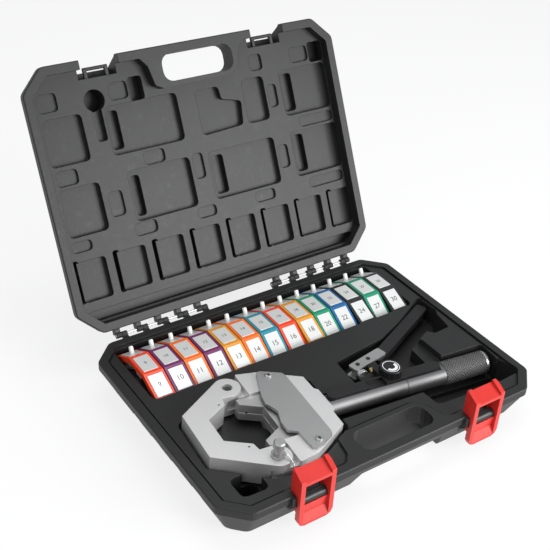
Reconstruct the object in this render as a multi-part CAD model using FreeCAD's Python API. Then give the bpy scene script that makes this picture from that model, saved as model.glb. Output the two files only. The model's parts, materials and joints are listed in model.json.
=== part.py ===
import FreeCAD, Part
import math
import os

# Hydraulic hose crimper in its carrying case: a hand-pumped crimping head with a
# gate and a ram, fourteen pairs of die halves, and a moulded case with a lid.
# All sizes are millimetres. X runs along the case, Y from its front to its
# hinges, Z is up. The origin is the middle of the face the case stands on.

# Case
case_width = 500.0
case_depth = 366.5
base_height = 58.0
lid_height = 58.0
parting_gap = 0.4
corner_chamfer = 31.6
corner_round = 11.0
rim_band = 13.0
wall_slope_inset = 20.0
foot_inset = 25.0
rim_width = 12.5
deck_drop = 2.0
lid_floor_depth = 15.0
pin_well_radius = 15.0
pin_well_depth = 42.0
groove_width = 2.6
groove_depth = 3.0
side_notch_pitch = 52.0
side_notch_width = 26.0
side_notch_depth = 4.0
side_notch_count = 4

# Handle opening
hand_hole_x = (-44.0, 70.0)
hand_hole_y = (13.0, 51.0)
hand_hole_round = 14.0
handle_thickness = 28.0

# Lid hinge
lid_open_angle = 116.05
hinge_behind_rim = 8.9
hinge_below_rim = 0.9
hinge_inner = 56.8
hinge_outer = 202.6
knuckle_radius = 4.0
knuckle_length = 8.0
knuckle_stations = 5
hinge_pin_radius = 1.5
running_clearance = 0.05
side_clearance = 0.4

# Latches
latch_x = 135.5
latch_width = 50.0
latch_bar_radius = 6.4
latch_bar_inside = 1.0
latch_bar_below_rim = 13.0
latch_cheek = 6.5
lug_width = 6.0
lug_radius = 5.4
bar_end_radius = 3.4
lip_half_width = 13.0
hook_angle = 16.0
lid_bar_radius = 2.5
lid_bar_reach = (2.5, 35.0)
base_latch_recess = 13.5
lid_latch_recess = 25.5

# Tool in its recess
tool_yaw = -5.45
tool_pitch = 2.3
ear_axis_x = -141.3
ear_axis_from_front = 124.9
head_top_above_rim = 10.5
seat_gap = 0.3
pocket_clearance = 4.5

# Crimping head
head_thickness = 32.0
hex_apothem = 36.0
hex_side = hex_apothem / math.cos(math.radians(30.0))
gate_flat_u = -48.7
gate_outer_u = -76.2
gate_outer_half = 39.9
ear_half_spacing = 69.1
ear_radius = 18.0
ear_pin_radius = 7.0
fork_slot = 14.0
ear_lug_radius = 16.0
gate_inner_half = 51.3
body_front_u = 20.5
body_half_width = 88.8
body_back_u = 104.4
neck_u = 109.0
neck_half = 20.6
ram_half_width = 46.0
ram_drop = 3.8
ram_back_u = 62.0
ram_flange_length = 18.0
ram_stroke = 13.5
ram_rest_opening = 76.7
slot_clearance = 0.3
cover_thickness = 4.0
cover_screw_u = 58.7
cover_screw_v = 66.4
screw_shank_radius = 2.5
screw_head_radius = 5.0
screw_head_height = 2.2

# Pump and handle
tube_radius = 15.0
tube_axis_w = -15.0
bore_radius = 11.0
rod_radius = 6.0
piston_u = (150.0, 162.0)
bore_end_u = 170.0
tube_seam_u = 231.0
spring_wire = 1.1
spring_turns = 6
grip_u = (296.0, 370.0)
grip_radius = 17.0
grip_ring_length = 5.0
grip_grooves = 24
bar_v = (-6.0, 10.0)
bar_bottom_w = -3.0
bar_top_w = 3.4
bar_end_u = 290.0
block_u = (176.0, 234.0)
block_v = 30.0
knob_u = 216.0
knob_v = 12.0
knob_radius = 15.5
knob_height = 9.0
stem_radius = 4.0
plunger_u = 187.5
plunger_w = -10.2
plunger_radius = 4.5
drive_pin_v = 47.5
pivot_u = 208.0
pivot_v = 53.2
link_pin_radius = 3.0
link_plate = 3.0
link_gap = 12.4
lever_start = (219.0, 51.4)
lever_angle = 31.0
lever_length = 164.0
lever_width = 17.0
chain_beads = 9

# Dies
die_count = 14
die_pitch = 30.4
first_die_x = -201.0
band_width = 28.7
band_thickness = 8.0
band_end_bar = 4.0
jaw_face_length = 33.0
jaw_face_width = 21.3
jaw_gap = 8.6
jaw_height = 20.0
jaw_proud = 0.6
jaw_bores = [9.0, 10.0, 11.0, 12.0, 13.0, 14.0, 15.0, 16.5, 18.0, 20.0, 22.0, 24.0, 27.0, 30.0]
die_mid_from_front = 291.25
die_top_above_rim = 10.0
back_tilt = 30.0
front_tilts = [24.0, 26.0, 30.0, 30.0, 27.0, 31.0, 33.0, 33.0, 26.0, 31.0, 31.0, 24.0, 34.0, 24.0]
peg_radius = 2.4
peg_length = 10.0
trough_from_front = (231.0, 351.5)
trough_x = (-221.0, 213.0)
trough_floor = 22.0

front = -case_depth / 2.0
rim_z = base_height
deck_z = base_height - deck_drop
hinge_y = case_depth / 2.0 + hinge_behind_rim
hinge_z = rim_z - hinge_below_rim


def vec(x, y, z=0.0):
    return FreeCAD.Vector(x, y, z)


def signed_area(points):
    total = 0.0
    for (x0, y0), (x1, y1) in zip(points, points[1:] + points[:1]):
        total += x0 * y1 - x1 * y0
    return total / 2.0


def counterclockwise(points):
    return list(points) if signed_area(list(points)) > 0 else list(reversed(points))


def offset_points(points, distance):
    """The same outline moved outwards by a distance, corner for corner."""
    points = counterclockwise(points)
    count = len(points)
    moved = []
    for i in range(count):
        before = vec(*points[i - 1])
        here = vec(*points[i])
        after = vec(*points[(i + 1) % count])
        into = (here - before).normalize()
        away = (after - here).normalize()
        normal_in = vec(into.y, -into.x)
        normal_out = vec(away.y, -away.x)
        middle = normal_in + normal_out
        scale = distance * 2.0 / middle.dot(middle)
        moved.append((here.x + middle.x * scale, here.y + middle.y * scale))
    return moved


def outline_wire(points, radius=0.0, height=0.0):
    """A closed wire through the points, with each corner turned by an arc."""
    points = counterclockwise(points)
    count = len(points)
    corners = []
    for i in range(count):
        here = vec(points[i][0], points[i][1], height)
        to_last = vec(points[i - 1][0], points[i - 1][1], height) - here
        to_next = vec(points[(i + 1) % count][0], points[(i + 1) % count][1], height) - here
        reach = 0.48 * min(to_last.Length, to_next.Length)
        to_last.normalize()
        to_next.normalize()
        half = math.acos(max(-1.0, min(1.0, to_last.dot(to_next)))) / 2.0
        leg = min(radius / math.tan(half), reach) if radius > 0 else 0.0
        if leg < 0.05:
            corners.append((here, None, here))
            continue
        turn = leg * math.tan(half)
        bisector = (to_last + to_next).normalize()
        centre = here + bisector * (turn / math.sin(half))
        corners.append((here + to_last * leg, centre - bisector * turn, here + to_next * leg))
    edges = []
    for i in range(count):
        start, middle, end = corners[i]
        if middle is not None:
            edges.append(Part.Arc(start, middle, end).toShape())
        following = corners[(i + 1) % count][0]
        if (following - end).Length > 1e-6:
            edges.append(Part.makeLine(end, following))
    return Part.Wire(edges)


def turned_corners(points, radius, flats=2):
    """The same outline with short flats round each corner instead of an arc."""
    points = counterclockwise(points)
    turned = []
    for i in range(len(points)):
        here = vec(*points[i])
        to_last = vec(*points[i - 1]) - here
        to_next = vec(*points[(i + 1) % len(points)]) - here
        reach = 0.48 * min(to_last.Length, to_next.Length)
        to_last.normalize()
        to_next.normalize()
        half = math.acos(max(-1.0, min(1.0, to_last.dot(to_next)))) / 2.0
        leg = min(radius / math.tan(half), reach)
        if leg < 0.05:
            turned.append((here.x, here.y))
            continue
        centre = here + (to_last + to_next).normalize() * (leg / math.cos(half))
        spoke = here + to_last * leg - centre
        sign = 1.0 if to_next.cross(to_last).z > 0 else -1.0
        sweep = sign * (180.0 - math.degrees(2.0 * half))
        for k in range(flats + 1):
            arm = FreeCAD.Rotation(vec(0, 0, 1), sweep * k / flats).multVec(spoke)
            turned.append((centre.x + arm.x, centre.y + arm.y))
    return turned


def plate(points, low, high, radius=0.0, flats=0):
    if flats:
        points = turned_corners(points, radius, flats)
        radius = 0.0
    face = Part.Face(outline_wire(points, radius, low))
    return face.extrude(vec(0, 0, high - low))


def flat_face(corners):
    return Part.Face(Part.makePolygon(list(corners) + [corners[0]]))


def through_rings(rings, twisted=False):
    """A solid with flat sides through rings of corners; twisted sides are split in two."""
    faces = [flat_face(rings[0]), flat_face(rings[-1])]
    for lower, upper in zip(rings, rings[1:]):
        for i in range(len(lower)):
            k = (i + 1) % len(lower)
            if twisted:
                faces.append(flat_face([lower[i], lower[k], upper[k]]))
                faces.append(flat_face([lower[i], upper[k], upper[i]]))
            else:
                faces.append(flat_face([lower[i], lower[k], upper[k], upper[i]]))
    solid = Part.Solid(Part.Shell(faces))
    if solid.Volume < 0:
        solid.reverse()
    return solid


def ring_of(centre, across, up, radius, sides):
    """Corners of a regular outline round a point, in the plane of two directions."""
    corners = []
    for k in range(sides):
        angle = 2.0 * math.pi * k / sides
        corners.append(centre + across * (radius * math.cos(angle)) + up * (radius * math.sin(angle)))
    return corners


def sided_rod(radius, start, end, sides):
    """A straight bar with flat sides that lie a radius from its axis."""
    way = (end - start).normalize()
    across = way.cross(vec(0, 0, 1)) if abs(way.z) < 0.9 else vec(1, 0, 0)
    across.normalize()
    up = way.cross(across)
    outer = radius / math.cos(math.pi / sides)
    return through_rings([ring_of(start, across, up, outer, sides), ring_of(end, across, up, outer, sides)])


def revolved(profile, u, v):
    """A solid turned about a vertical axis from radius and height pairs."""
    corners = [vec(u + radius, v, height) for radius, height in profile]
    return flat_face(corners).revolve(vec(u, v, 0), vec(0, 0, 1), 360.0)


def rectangle(x0, x1, y0, y1):
    return [(x0, y0), (x1, y0), (x1, y1), (x0, y1)]


def block(x0, x1, y0, y1, z0, z1):
    return Part.makeBox(x1 - x0, y1 - y0, z1 - z0, vec(x0, y0, z0))


def rod(radius, start, end):
    """A round bar from one point to another."""
    return Part.makeCylinder(radius, (end - start).Length, start, end - start)


def side_profile(points, x0, x1):
    """A prism along X from an outline drawn in Y and Z."""
    corners = [vec(x0, y, z) for y, z in points]
    face = Part.Face(Part.makePolygon(corners + corners[:1]))
    return face.extrude(vec(x1 - x0, 0, 0))


def end_profile(points, y0, y1):
    """A prism along Y from an outline drawn in X and Z."""
    corners = [vec(x, y0, z) for x, z in points]
    face = Part.Face(Part.makePolygon(corners + corners[:1]))
    return face.extrude(vec(0, y1 - y0, 0))


def joined(shapes):
    whole = shapes[0]
    if len(shapes) > 1:
        whole = whole.multiFuse(shapes[1:])
    return whole.removeSplitter()


def cut(shape, tools):
    for tool in tools:
        shape = shape.cut(tool)
    return shape.removeSplitter()


def case_outline():
    half = case_width / 2.0
    depth = case_depth / 2.0
    c = corner_chamfer
    return [(-half + c, -depth), (half - c, -depth), (half, -depth + c), (half, depth - c),
            (half - c, depth), (-half + c, depth), (-half, depth - c), (-half, -depth + c)]


def case_half(heights_and_insets):
    rings = []
    for height, inset in heights_and_insets:
        corners = turned_corners(offset_points(case_outline(), -inset), corner_round)
        rings.append([vec(x, y, height) for x, y in corners])
    return through_rings(rings)


def wall_inset(down):
    """How far the sloped wall stands in, at a height below the rim band."""
    slope = (wall_slope_inset - 2.5) / (base_height - 6.0 - rim_band)
    return 2.5 + slope * (down - rim_band)


def side_notches(sign, rim, direction):
    """Scallops low on both end walls. direction is -1 for the base, 1 for the lid."""
    edge = case_width / 2.0
    upper = rim_band + 5.0
    lower = base_height + 1.0
    inner = [(upper, wall_inset(upper) - 0.5), (upper + 4.5, wall_inset(upper + 4.5) + side_notch_depth),
             (lower, wall_inset(lower) + side_notch_depth)]
    profile = [(sign * (edge - inset), rim + direction * down) for down, inset in inner]
    outside = sign * (edge + 5.0)
    profile += [(outside, rim + direction * lower), (outside, rim + direction * upper)]
    start = -side_notch_pitch * (side_notch_count - 1) / 2.0
    cutters = []
    for i in range(side_notch_count):
        middle = start + side_notch_pitch * i
        half = side_notch_width / 2.0
        cutters.append(end_profile(profile, middle - half, middle + half))
    return cutters


def inner_outline():
    """The line where the rim band ends: it steps back round the hand hole."""
    points = offset_points(case_outline(), -rim_width)
    y = front + rim_width
    step = [(-76.0, y), (-66.0, y + 12.0), (-60.0, y + 40.0), (-48.0, y + 46.0),
            (62.0, y + 46.0), (76.0, y + 36.0), (84.0, y + 8.0), (94.0, y)]
    left = min(range(len(points)), key=lambda i: (points[i][1], points[i][0]))
    ordered = points[left:] + points[:left]
    return [ordered[0]] + step + ordered[1:]


def hand_hole():
    x0, x1 = hand_hole_x
    y0, y1 = hand_hole_y
    hole = rectangle(x0, x1, front + y0, front + y1)
    return plate(hole, -5.0, base_height + lid_height + 5.0, hand_hole_round, 4)


def handle_relief(rim, direction):
    """Room for the hand below the handle bar, on the outer side of a case half."""
    x0, x1 = hand_hole_x
    y1 = front + hand_hole_y[1]
    near = rim + direction * handle_thickness
    far = rim + direction * (base_height + 5.0)
    corners = [(x0 - 8.0, near), (x1 + 8.0, near), (x1 + 20.0, far), (x0 - 20.0, far)]
    return end_profile(corners, front - 5.0, y1)


def hinge_axis_point(x):
    return vec(x, hinge_y, hinge_z)


def knuckles(for_lid):
    """Barrels with short arms; base and lid barrels stand side by side on one pin."""
    pieces = []
    pitch = (hinge_outer - hinge_inner - 2.0 * knuckle_length - side_clearance) / (knuckle_stations - 1)
    shift = knuckle_length + side_clearance if for_lid else 0.0
    low = hinge_z + 0.5 if for_lid else hinge_z - knuckle_radius - 4.0
    high = rim_z + parting_gap + 9.0 if for_lid else hinge_z - 0.5
    for side in (-1.0, 1.0):
        for i in range(knuckle_stations):
            near = hinge_inner + pitch * i + shift
            x0 = near if side > 0 else -near - knuckle_length
            ends = hinge_axis_point(x0), hinge_axis_point(x0 + knuckle_length)
            barrel = sided_rod(knuckle_radius, ends[0], ends[1], 12)
            root = case_depth / 2.0 - 3.0
            arm = [(root, low), (hinge_y, high - knuckle_radius), (hinge_y, high), (root, high)]
            if for_lid:
                arm = [(root, rim_z + parting_gap + 1.0), (case_depth / 2.0 + 0.4, low),
                       (hinge_y - knuckle_radius * 0.2, low), (hinge_y, high), (root, high)]
            piece = barrel.fuse(side_profile(arm, x0, x0 + knuckle_length))
            bore = sided_rod(hinge_pin_radius + running_clearance, hinge_axis_point(x0 - 1.0),
                             hinge_axis_point(x0 + knuckle_length + 1.0), 12)
            pieces.append(piece.cut(bore))
    return pieces


def hinge_pins():
    pins = []
    for side in (-1.0, 1.0):
        a = side * hinge_inner
        b = side * hinge_outer
        pins.append(rod(hinge_pin_radius, hinge_axis_point(a), hinge_axis_point(b)))
    return Part.makeCompound(pins)


def tool_placement():
    origin = vec(ear_axis_x, front + ear_axis_from_front, rim_z + head_top_above_rim)
    yaw = FreeCAD.Rotation(vec(0, 0, 1), tool_yaw)
    pitch = FreeCAD.Rotation(vec(0, 1, 0), tool_pitch)
    return FreeCAD.Placement(origin, yaw.multiply(pitch))


def placed(shape):
    moved = shape.copy()
    moved.Placement = tool_placement().multiply(shape.Placement)
    return moved


def tool_recess():
    """Cutters for everything the tool needs, in the tool's own frame."""
    floor = -head_thickness - cover_thickness - seat_gap
    tube_floor = tube_axis_w - grip_radius - seat_gap
    c = pocket_clearance
    head = [(gate_outer_u - c, -gate_outer_half - 2.0), (gate_outer_u - c, gate_outer_half + 2.0),
            (-14.0, ear_half_spacing + ear_radius + c), (body_front_u, body_half_width + c),
            (52.0, 83.0 + c), (neck_u + c, 51.0), (neck_u + c, -51.0),
            (52.0, -83.0 - c), (body_front_u, -body_half_width - c),
            (-14.0, -ear_half_spacing - ear_radius - c)]
    back = grip_radius + 0.8
    front_edge = -tube_radius - 20.0
    handle = [(100.0, back), (100.0, front_edge), (292.0, front_edge), (296.0, -22.0),
              (grip_u[1] + 6.0, -22.0), (grip_u[1] + 6.0, back)]
    lever = [(166.0, 4.0), (166.0, 67.0), (256.0, 88.5), (301.0, 112.5), (361.5, 151.5), (365.0, 143.0),
             (368.5, 116.0), (362.0, 104.0), (358.5, 70.0), (331.0, 66.0), (323.0, 75.0), (304.0, 64.0),
             (286.0, 58.0), (286.0, 4.0)]
    island = [(284.0, 60.0), (304.5, 64.5), (309.0, 18.0), (284.0, 14.0)]
    fingers = [(236.0, -18.0), (243.0, -64.0), (303.0, -63.0), (350.0, -60.0), (388.0, -54.0),
               (381.0, -18.0)]
    wells = [(head, floor, 7.0), (handle, tube_floor, 5.0), (lever, -29.0, 4.0), (island, -10.0, 4.0),
             (fingers, -40.0, 7.0)]
    return [placed(plate(points, depth, 70.0, radius, 2)) for points, depth, radius in wells]


def case_base():
    levels = [(0.0, foot_inset), (6.0, wall_slope_inset), (rim_z - rim_band, 2.5),
              (rim_z - rim_band + 2.0, 0.0), (rim_z - 1.2, 0.0), (rim_z, 1.2)]
    body = case_half(levels)
    inner = inner_outline()
    cutters = side_notches(-1.0, rim_z, -1.0) + side_notches(1.0, rim_z, -1.0)
    cutters.append(plate(inner, deck_z, rim_z + 5.0, 4.0, 2))
    groove = plate(inner, deck_z - groove_depth, rim_z + 5.0, 4.0, 2)
    cutters.append(groove.cut(plate(offset_points(inner, -groove_width), 0.0, rim_z + 9.0, 3.0, 2)))
    cutters.append(handle_relief(rim_z, -1.0))
    cutters.append(hand_hole())
    finger = [(-214.0, front + 62.0), (-214.0, front + 29.0), (-177.0, front + 27.0), (-177.0, front + 62.0)]
    cutters.append(plate(finger, 14.0, rim_z + 5.0, 7.0, 2))
    x0, x1 = trough_x
    y0, y1 = [front + y for y in trough_from_front]
    cutters.append(plate(rectangle(x0, x1, y0, y1), trough_floor, rim_z + 5.0, 8.0, 2))
    cutters += tool_recess()
    for side in (-1.0, 1.0):
        x = side * latch_x
        half = latch_width / 2.0 + side_clearance
        recess_end = front + base_latch_recess
        cutters.append(block(x - half, x + half, front - 5.0, recess_end, -1.0, rim_z + 5.0))
    body = cut(body, cutters)
    lugs = []
    for side in (-1.0, 1.0):
        lugs += latch_lugs(side * latch_x)
    body = joined([body] + lugs + knuckles(False))
    body = cut(body, [latch_bar_seat(side * latch_x) for side in (-1.0, 1.0)])
    nests = [die_nest(i) for i in range(die_count)]
    return joined([body] + nests)


def latch_pivot():
    return front + latch_bar_inside, rim_z - latch_bar_below_rim


def catch_bar():
    """Where the lid's bar is when the hook has turned in over it."""
    y, z = latch_pivot()
    turn = math.radians(hook_angle)
    along, up = lid_bar_reach
    return (y + along * math.cos(turn) + up * math.sin(turn),
            z - along * math.sin(turn) + up * math.cos(turn))


def latch_lugs(x):
    """Two cheeks that carry the latch bar in front of the base."""
    y, z = latch_pivot()
    inner = latch_width / 2.0 + side_clearance
    pieces = []
    for side in (-1.0, 1.0):
        x0 = x + side * inner
        x1 = x0 + side * lug_width
        low, high = min(x0, x1), max(x0, x1)
        boss = sided_rod(lug_radius, vec(low, y, z), vec(high, y, z), 16)
        arm = [(y - lug_radius, z), (y, z - lug_radius), (y + 13.0, z - 17.0), (y + 13.0, rim_z - 1.0),
               (y - lug_radius, rim_z - 1.0)]
        pieces.append(boss.fuse(side_profile(arm, low, high)))
    return pieces


def latch_bar_seat(x):
    y, z = latch_pivot()
    half = latch_width / 2.0 + side_clearance + lug_width
    return rod(bar_end_radius, vec(x - half, y, z), vec(x + half, y, z))


def latch_bars():
    """Bars that the latches turn on, with thinner ends held in the lugs."""
    bars = []
    y, z = latch_pivot()
    half = latch_width / 2.0 + side_clearance
    for side in (-1.0, 1.0):
        x = side * latch_x
        thick = rod(latch_bar_radius, vec(x - half + 0.2, y, z), vec(x + half - 0.2, y, z))
        reach = half + lug_width
        thin = rod(bar_end_radius, vec(x - reach, y, z), vec(x + reach, y, z))
        bars.append(thick.fuse(thin))
    return Part.makeCompound(bars)


def latch(side):
    """A hooked clip: two cheeks round the bar, a sunk top plate with a lip, and a dished tab."""
    x = side * latch_x
    x0 = x - latch_width / 2.0
    x1 = x + latch_width / 2.0
    y, z = latch_pivot()
    cheek = [(-11.0, -33.0), (-11.0, 39.0), (7.0, 48.5), (9.0, 47.5), (9.0, 4.0), (6.5, -6.5),
             (2.0, -9.5), (-4.5, -13.0), (-3.5, -20.0), (-2.5, -27.0), (-5.5, -33.0)]
    top = [(-11.0, 35.5), (9.0, 44.8), (9.0, 41.8), (-8.4, 32.2), (-8.4, 31.5), (-11.0, 31.5)]
    lip = [(9.0, 44.0), (6.2, 42.0), (6.2, 39.0), (9.0, 39.0)]
    dish = [(-7.4, -3.0), (-5.5, -18.0), (-11.0, -30.0), (-11.0, -33.0), (-7.5, -33.0), (-3.0, -18.5),
            (-4.5, -3.0)]
    pieces = []
    spans = [(cheek, x0, x0 + latch_cheek), (cheek, x1 - latch_cheek, x1), (top, x0, x1), (dish, x0, x1),
             (lip, x - lip_half_width, x + lip_half_width)]
    for shape, a, b in spans:
        pieces.append(side_profile([(y + along, z + up) for along, up in shape], a, b))
    hole = rod(latch_bar_radius + 2.0 * running_clearance, vec(x0 - 1.0, y, z), vec(x1 + 1.0, y, z))
    body = cut(joined(pieces), [hole])
    corner = 9.0
    foot = z - 33.0
    near = corner * 0.3
    front_view = [(x0, foot + corner), (x0 + near, foot + near), (x0 + corner, foot), (x1 - corner, foot),
                  (x1 - near, foot + near), (x1, foot + corner), (x1, z + 46.0), (x1 - 2.5, z + 51.0),
                  (x0 + 2.5, z + 51.0), (x0, z + 46.0)]
    return body.common(end_profile(front_view, y - 20.0, y + 20.0)).removeSplitter()


def lid_pockets():
    """Recesses of the lid: x range, distances from the front edge, depth from the rim."""
    shallow = 24.0
    deep = 34.0
    large = [(-230, -172, 69, 133), (-138, -25, 67, 135), (-126, -26, 160, 232), (-228, -169, 164, 231),
             (84, 122, 69, 134), (151, 236, 67, 136), (151, 238, 161, 230), (5, 120, 161, 231)]
    fingers = [(-229, -201, 35, 60), (-227, -196, 139, 160), (-125, -97, 37, 61), (-95, -62, 139, 158),
               (-21, -4, 158, 195), (-161, -139, 182, 217), (-229, -199, 237, 252), (-132, -97, 234, 252),
               (-30, 1, 236, 252), (126, 142, 84, 118), (104, 126, 36, 60), (177, 209, 37, 60),
               (172, 234, 141, 157), (170, 233, 236, 252), (124, 142, 176, 211), (70, 105, 236, 252)]
    slots = [(-133, -116, 74, 128), (-119, -105, 168, 226), (157, 177, 73, 130), (159, 178, 167, 224),
             (13, 33, 168, 225), (-95, -73, 34, 67), (211, 237, 34, 64)]
    found = [(box, shallow, 6.0) for box in large]
    found += [(box, 19.0, 5.0) for box in fingers]
    found += [(box, deep, 4.0) for box in slots]
    return found


def lid_die_row():
    """Eight nests for the die backs, each with a deeper slot, and the hinge side trough."""
    cells = []
    pitch = 61.5
    for i in range(8):
        x0 = -235.0 + pitch * i
        cells.append(((x0 + 8.0, min(x0 + 50.0, 238.0), 265.0, 322.0), 24.0, 4.0))
        cells.append(((x0, x0 + 9.5, 262.0, 322.0), 36.0, 3.0))
    cells.append(((-229.0, 229.0, 336.0, 351.0), 26.0, 5.0))
    return cells


def lid_local(box):
    x0, x1, y0, y1 = box
    return rectangle(float(x0), float(x1), front + y0, front + y1)


def case_lid():
    """Built closed, upside down over the base, then opened about its hinge: a shell and its rim."""
    low = rim_z + parting_gap
    top = low + lid_height
    floor = low + lid_floor_depth
    levels = [(low, 1.2), (low + 1.2, 0.0), (low + rim_band - 2.0, 0.0), (low + rim_band, 2.5),
              (top - 6.0, wall_slope_inset), (top, foot_inset)]
    body = case_half(levels)
    cutters = side_notches(-1.0, low, 1.0) + side_notches(1.0, low, 1.0)
    cutters.append(plate(inner_outline(), low - 1.0, floor, 4.0, 2))
    cutters.append(handle_relief(low, 1.0))
    cutters.append(hand_hole())
    for box, depth, radius in lid_pockets() + lid_die_row():
        cutters.append(plate(lid_local(box), floor - 1.0, low + depth, radius, 2))
    hook = [(5.0, 71.0), (44.0, 71.0), (46.0, 90.0), (78.0, 98.0), (74.0, 133.0), (5.0, 136.0)]
    hook = [(x, front + y) for x, y in hook]
    cutters.append(plate(hook, floor - 1.0, low + 24.0, 5.0, 2))
    cutters += lock_pin_well(low, floor)
    bars = []
    for side in (-1.0, 1.0):
        x = side * latch_x
        half = latch_width / 2.0 + 3.5
        recess_end = front + lid_latch_recess
        cutters.append(block(x - half, x + half, front - 5.0, recess_end, low - 2.0, low + 44.0))
        bars += catch(x, recess_end)
    body = cut(body, cutters)
    rim_layer = block(-case_width, case_width, -case_depth, case_depth, low - 1.0, floor)
    rim = joined([body.common(rim_layer)] + knuckles(True))
    shell = joined([body.cut(rim_layer)] + bars)
    for piece in (shell, rim):
        piece.rotate(vec(0, hinge_y, hinge_z), vec(1, 0, 0), -lid_open_angle)
    return shell, rim


def catch(x, wall):
    """The lid's catch: a bar between the latch's cheeks, on two lugs from the recess wall."""
    y, z = catch_bar()
    half = latch_width / 2.0 - latch_cheek - side_clearance
    pieces = [rod(lid_bar_radius, vec(x - half, y, z), vec(x + half, y, z))]
    for side in (-1.0, 1.0):
        outer = x + side * half
        inner = x + side * (lip_half_width + side_clearance)
        pieces.append(block(min(outer, inner), max(outer, inner), y, wall + 1.0,
                            z - lid_bar_radius, z + lid_bar_radius))
    return pieces


def lock_pin_well(low, floor):
    """A round well over the lock pin's head, with a slot beside it for the chain."""
    pin_x = ear_axis_x - 7.0
    pin_y = front + ear_axis_from_front - ear_half_spacing
    bottom = vec(pin_x, pin_y, low + pin_well_depth)
    well = sided_rod(pin_well_radius, vec(pin_x, pin_y, low - 1.0), bottom, 20)
    slot = rectangle(pin_x - 7.0, pin_x + 7.0, pin_y, front + 112.0)
    return [well, plate(slot, floor - 1.0, low + 24.0, 3.0, 2)]


def ear_tangent():
    """Where the gate's slanted outer side meets the ear circle."""
    dx = 0.0 - gate_outer_u
    dy = ear_half_spacing - gate_outer_half
    reach = math.hypot(dx, dy)
    along = math.atan2(dy, dx)
    spread = math.asin(ear_radius / reach)
    direction = along + spread
    length = math.sqrt(reach ** 2 - ear_radius ** 2)
    return gate_outer_u + length * math.cos(direction), gate_outer_half + length * math.sin(direction)


def ear_axes(low, high, radius):
    return [rod(radius, vec(0, side * ear_half_spacing, low), vec(0, side * ear_half_spacing, high))
            for side in (-1.0, 1.0)]


def gate():
    """The C-shaped front jaw of the head, with a forked ear at each end."""
    t = head_thickness
    half_side = hex_side / 2.0
    flat_run = 31.0
    rise = flat_run * math.tan(math.radians(30.0))
    inner_u = gate_flat_u + flat_run
    half = [(gate_outer_u, gate_outer_half), ear_tangent(), (0.0, ear_half_spacing), (0.0, gate_inner_half),
            (inner_u + 2.0, gate_inner_half), (inner_u, half_side + rise + 0.6), (gate_flat_u, half_side)]
    outline = half + [(u, -v) for u, v in reversed(half)]
    body = plate(outline, -t, 0.0)
    body = joined([body] + ear_axes(-t, 0.0, ear_radius))
    middle = -t / 2.0
    slots = ear_axes(middle - fork_slot / 2.0, middle + fork_slot / 2.0, ear_radius + 1.0)
    bores = ear_axes(-t - 1.0, 1.0, ear_pin_radius + running_clearance)
    dowels = [rod(1.6, vec(-25.0, side * 42.0, 1.0), vec(-25.0, side * 42.0, -5.0))
              for side in (-1.0, 1.0)]
    clip_hole = rod(2.1, vec(gate_flat_u - 8.0, 0, middle), vec(gate_flat_u + 1.0, 0, middle))
    return cut(body, slots + bores + dowels + [clip_hole])


def head_body():
    """The fixed body: two cheeks round the ram slot, a lug at each ear and a neck."""
    t = head_thickness
    slot = ram_half_width + slot_clearance
    back = ram_back_u + 4.0
    half = [(back, slot), (body_front_u, slot), (body_front_u, body_half_width), (50.0, 83.0),
            (103.7, 51.0), (body_back_u, 25.1), (neck_u, neck_half)]
    outline = half + [(u, -v) for u, v in reversed(half)]
    body = plate(outline, -t, 0.0, 1.5)
    lug_low = -t / 2.0 - fork_slot / 2.0 + slot_clearance
    lug_high = -t / 2.0 + fork_slot / 2.0 - slot_clearance
    lugs = ear_axes(lug_low, lug_high, ear_lug_radius)
    for side in (-1.0, 1.0):
        v0 = side * ear_half_spacing
        low_v, high_v = v0 - ear_lug_radius, v0 + ear_lug_radius
        lugs.append(block(0.0, body_front_u + 2.0, low_v, high_v, lug_low, lug_high))
    spigot = rod(bore_radius, vec(neck_u - 1.0, 0, tube_axis_w), vec(neck_u + 3.0, 0, tube_axis_w))
    body = joined([body, spigot] + lugs)
    cutters = ear_axes(-t, 0.0, ear_pin_radius + running_clearance)
    rod_bore = vec(back - 2.0, 0, tube_axis_w), vec(neck_u + 5.0, 0, tube_axis_w)
    cutters.append(rod(rod_radius + running_clearance, rod_bore[0], rod_bore[1]))
    for side in (-1.0, 1.0):
        hole = rod(screw_shank_radius + 0.1, vec(cover_screw_u, side * cover_screw_v, -t - 1.0),
                   vec(cover_screw_u, side * cover_screw_v, 1.0))
        cutters.append(hole)
    return cut(body, cutters)


def cover_outline():
    return [(46.4, 77.5), (31.8, 34.4), (29.0, 17.0), (33.0, 9.0), (36.5, 0.0), (34.0, -10.0),
            (29.9, -22.0), (30.6, -37.6), (41.1, -43.4), (43.8, -76.0), (50.0, -79.0), (60.0, -75.5),
            (78.4, -65.0), (80.5, -58.0), (80.5, 58.0), (78.4, 65.0), (52.0, 79.0)]


def screw_sites():
    return [(cover_screw_u, side * cover_screw_v) for side in (-1.0, 1.0)]


def cover_plate(low, high, sunk_heads):
    body = plate(cover_outline(), low, high, 2.5, 2)
    cutters = []
    for u, v in screw_sites():
        start = vec(u, v, low - 1.0)
        cutters.append(sided_rod(screw_shank_radius + 0.1, start, vec(u, v, high + 1.0), 12))
        if sunk_heads:
            cutters.append(sided_rod(screw_head_radius + 0.1, start, vec(u, v, low + 2.6), 16))
    return cut(body, cutters)


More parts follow.
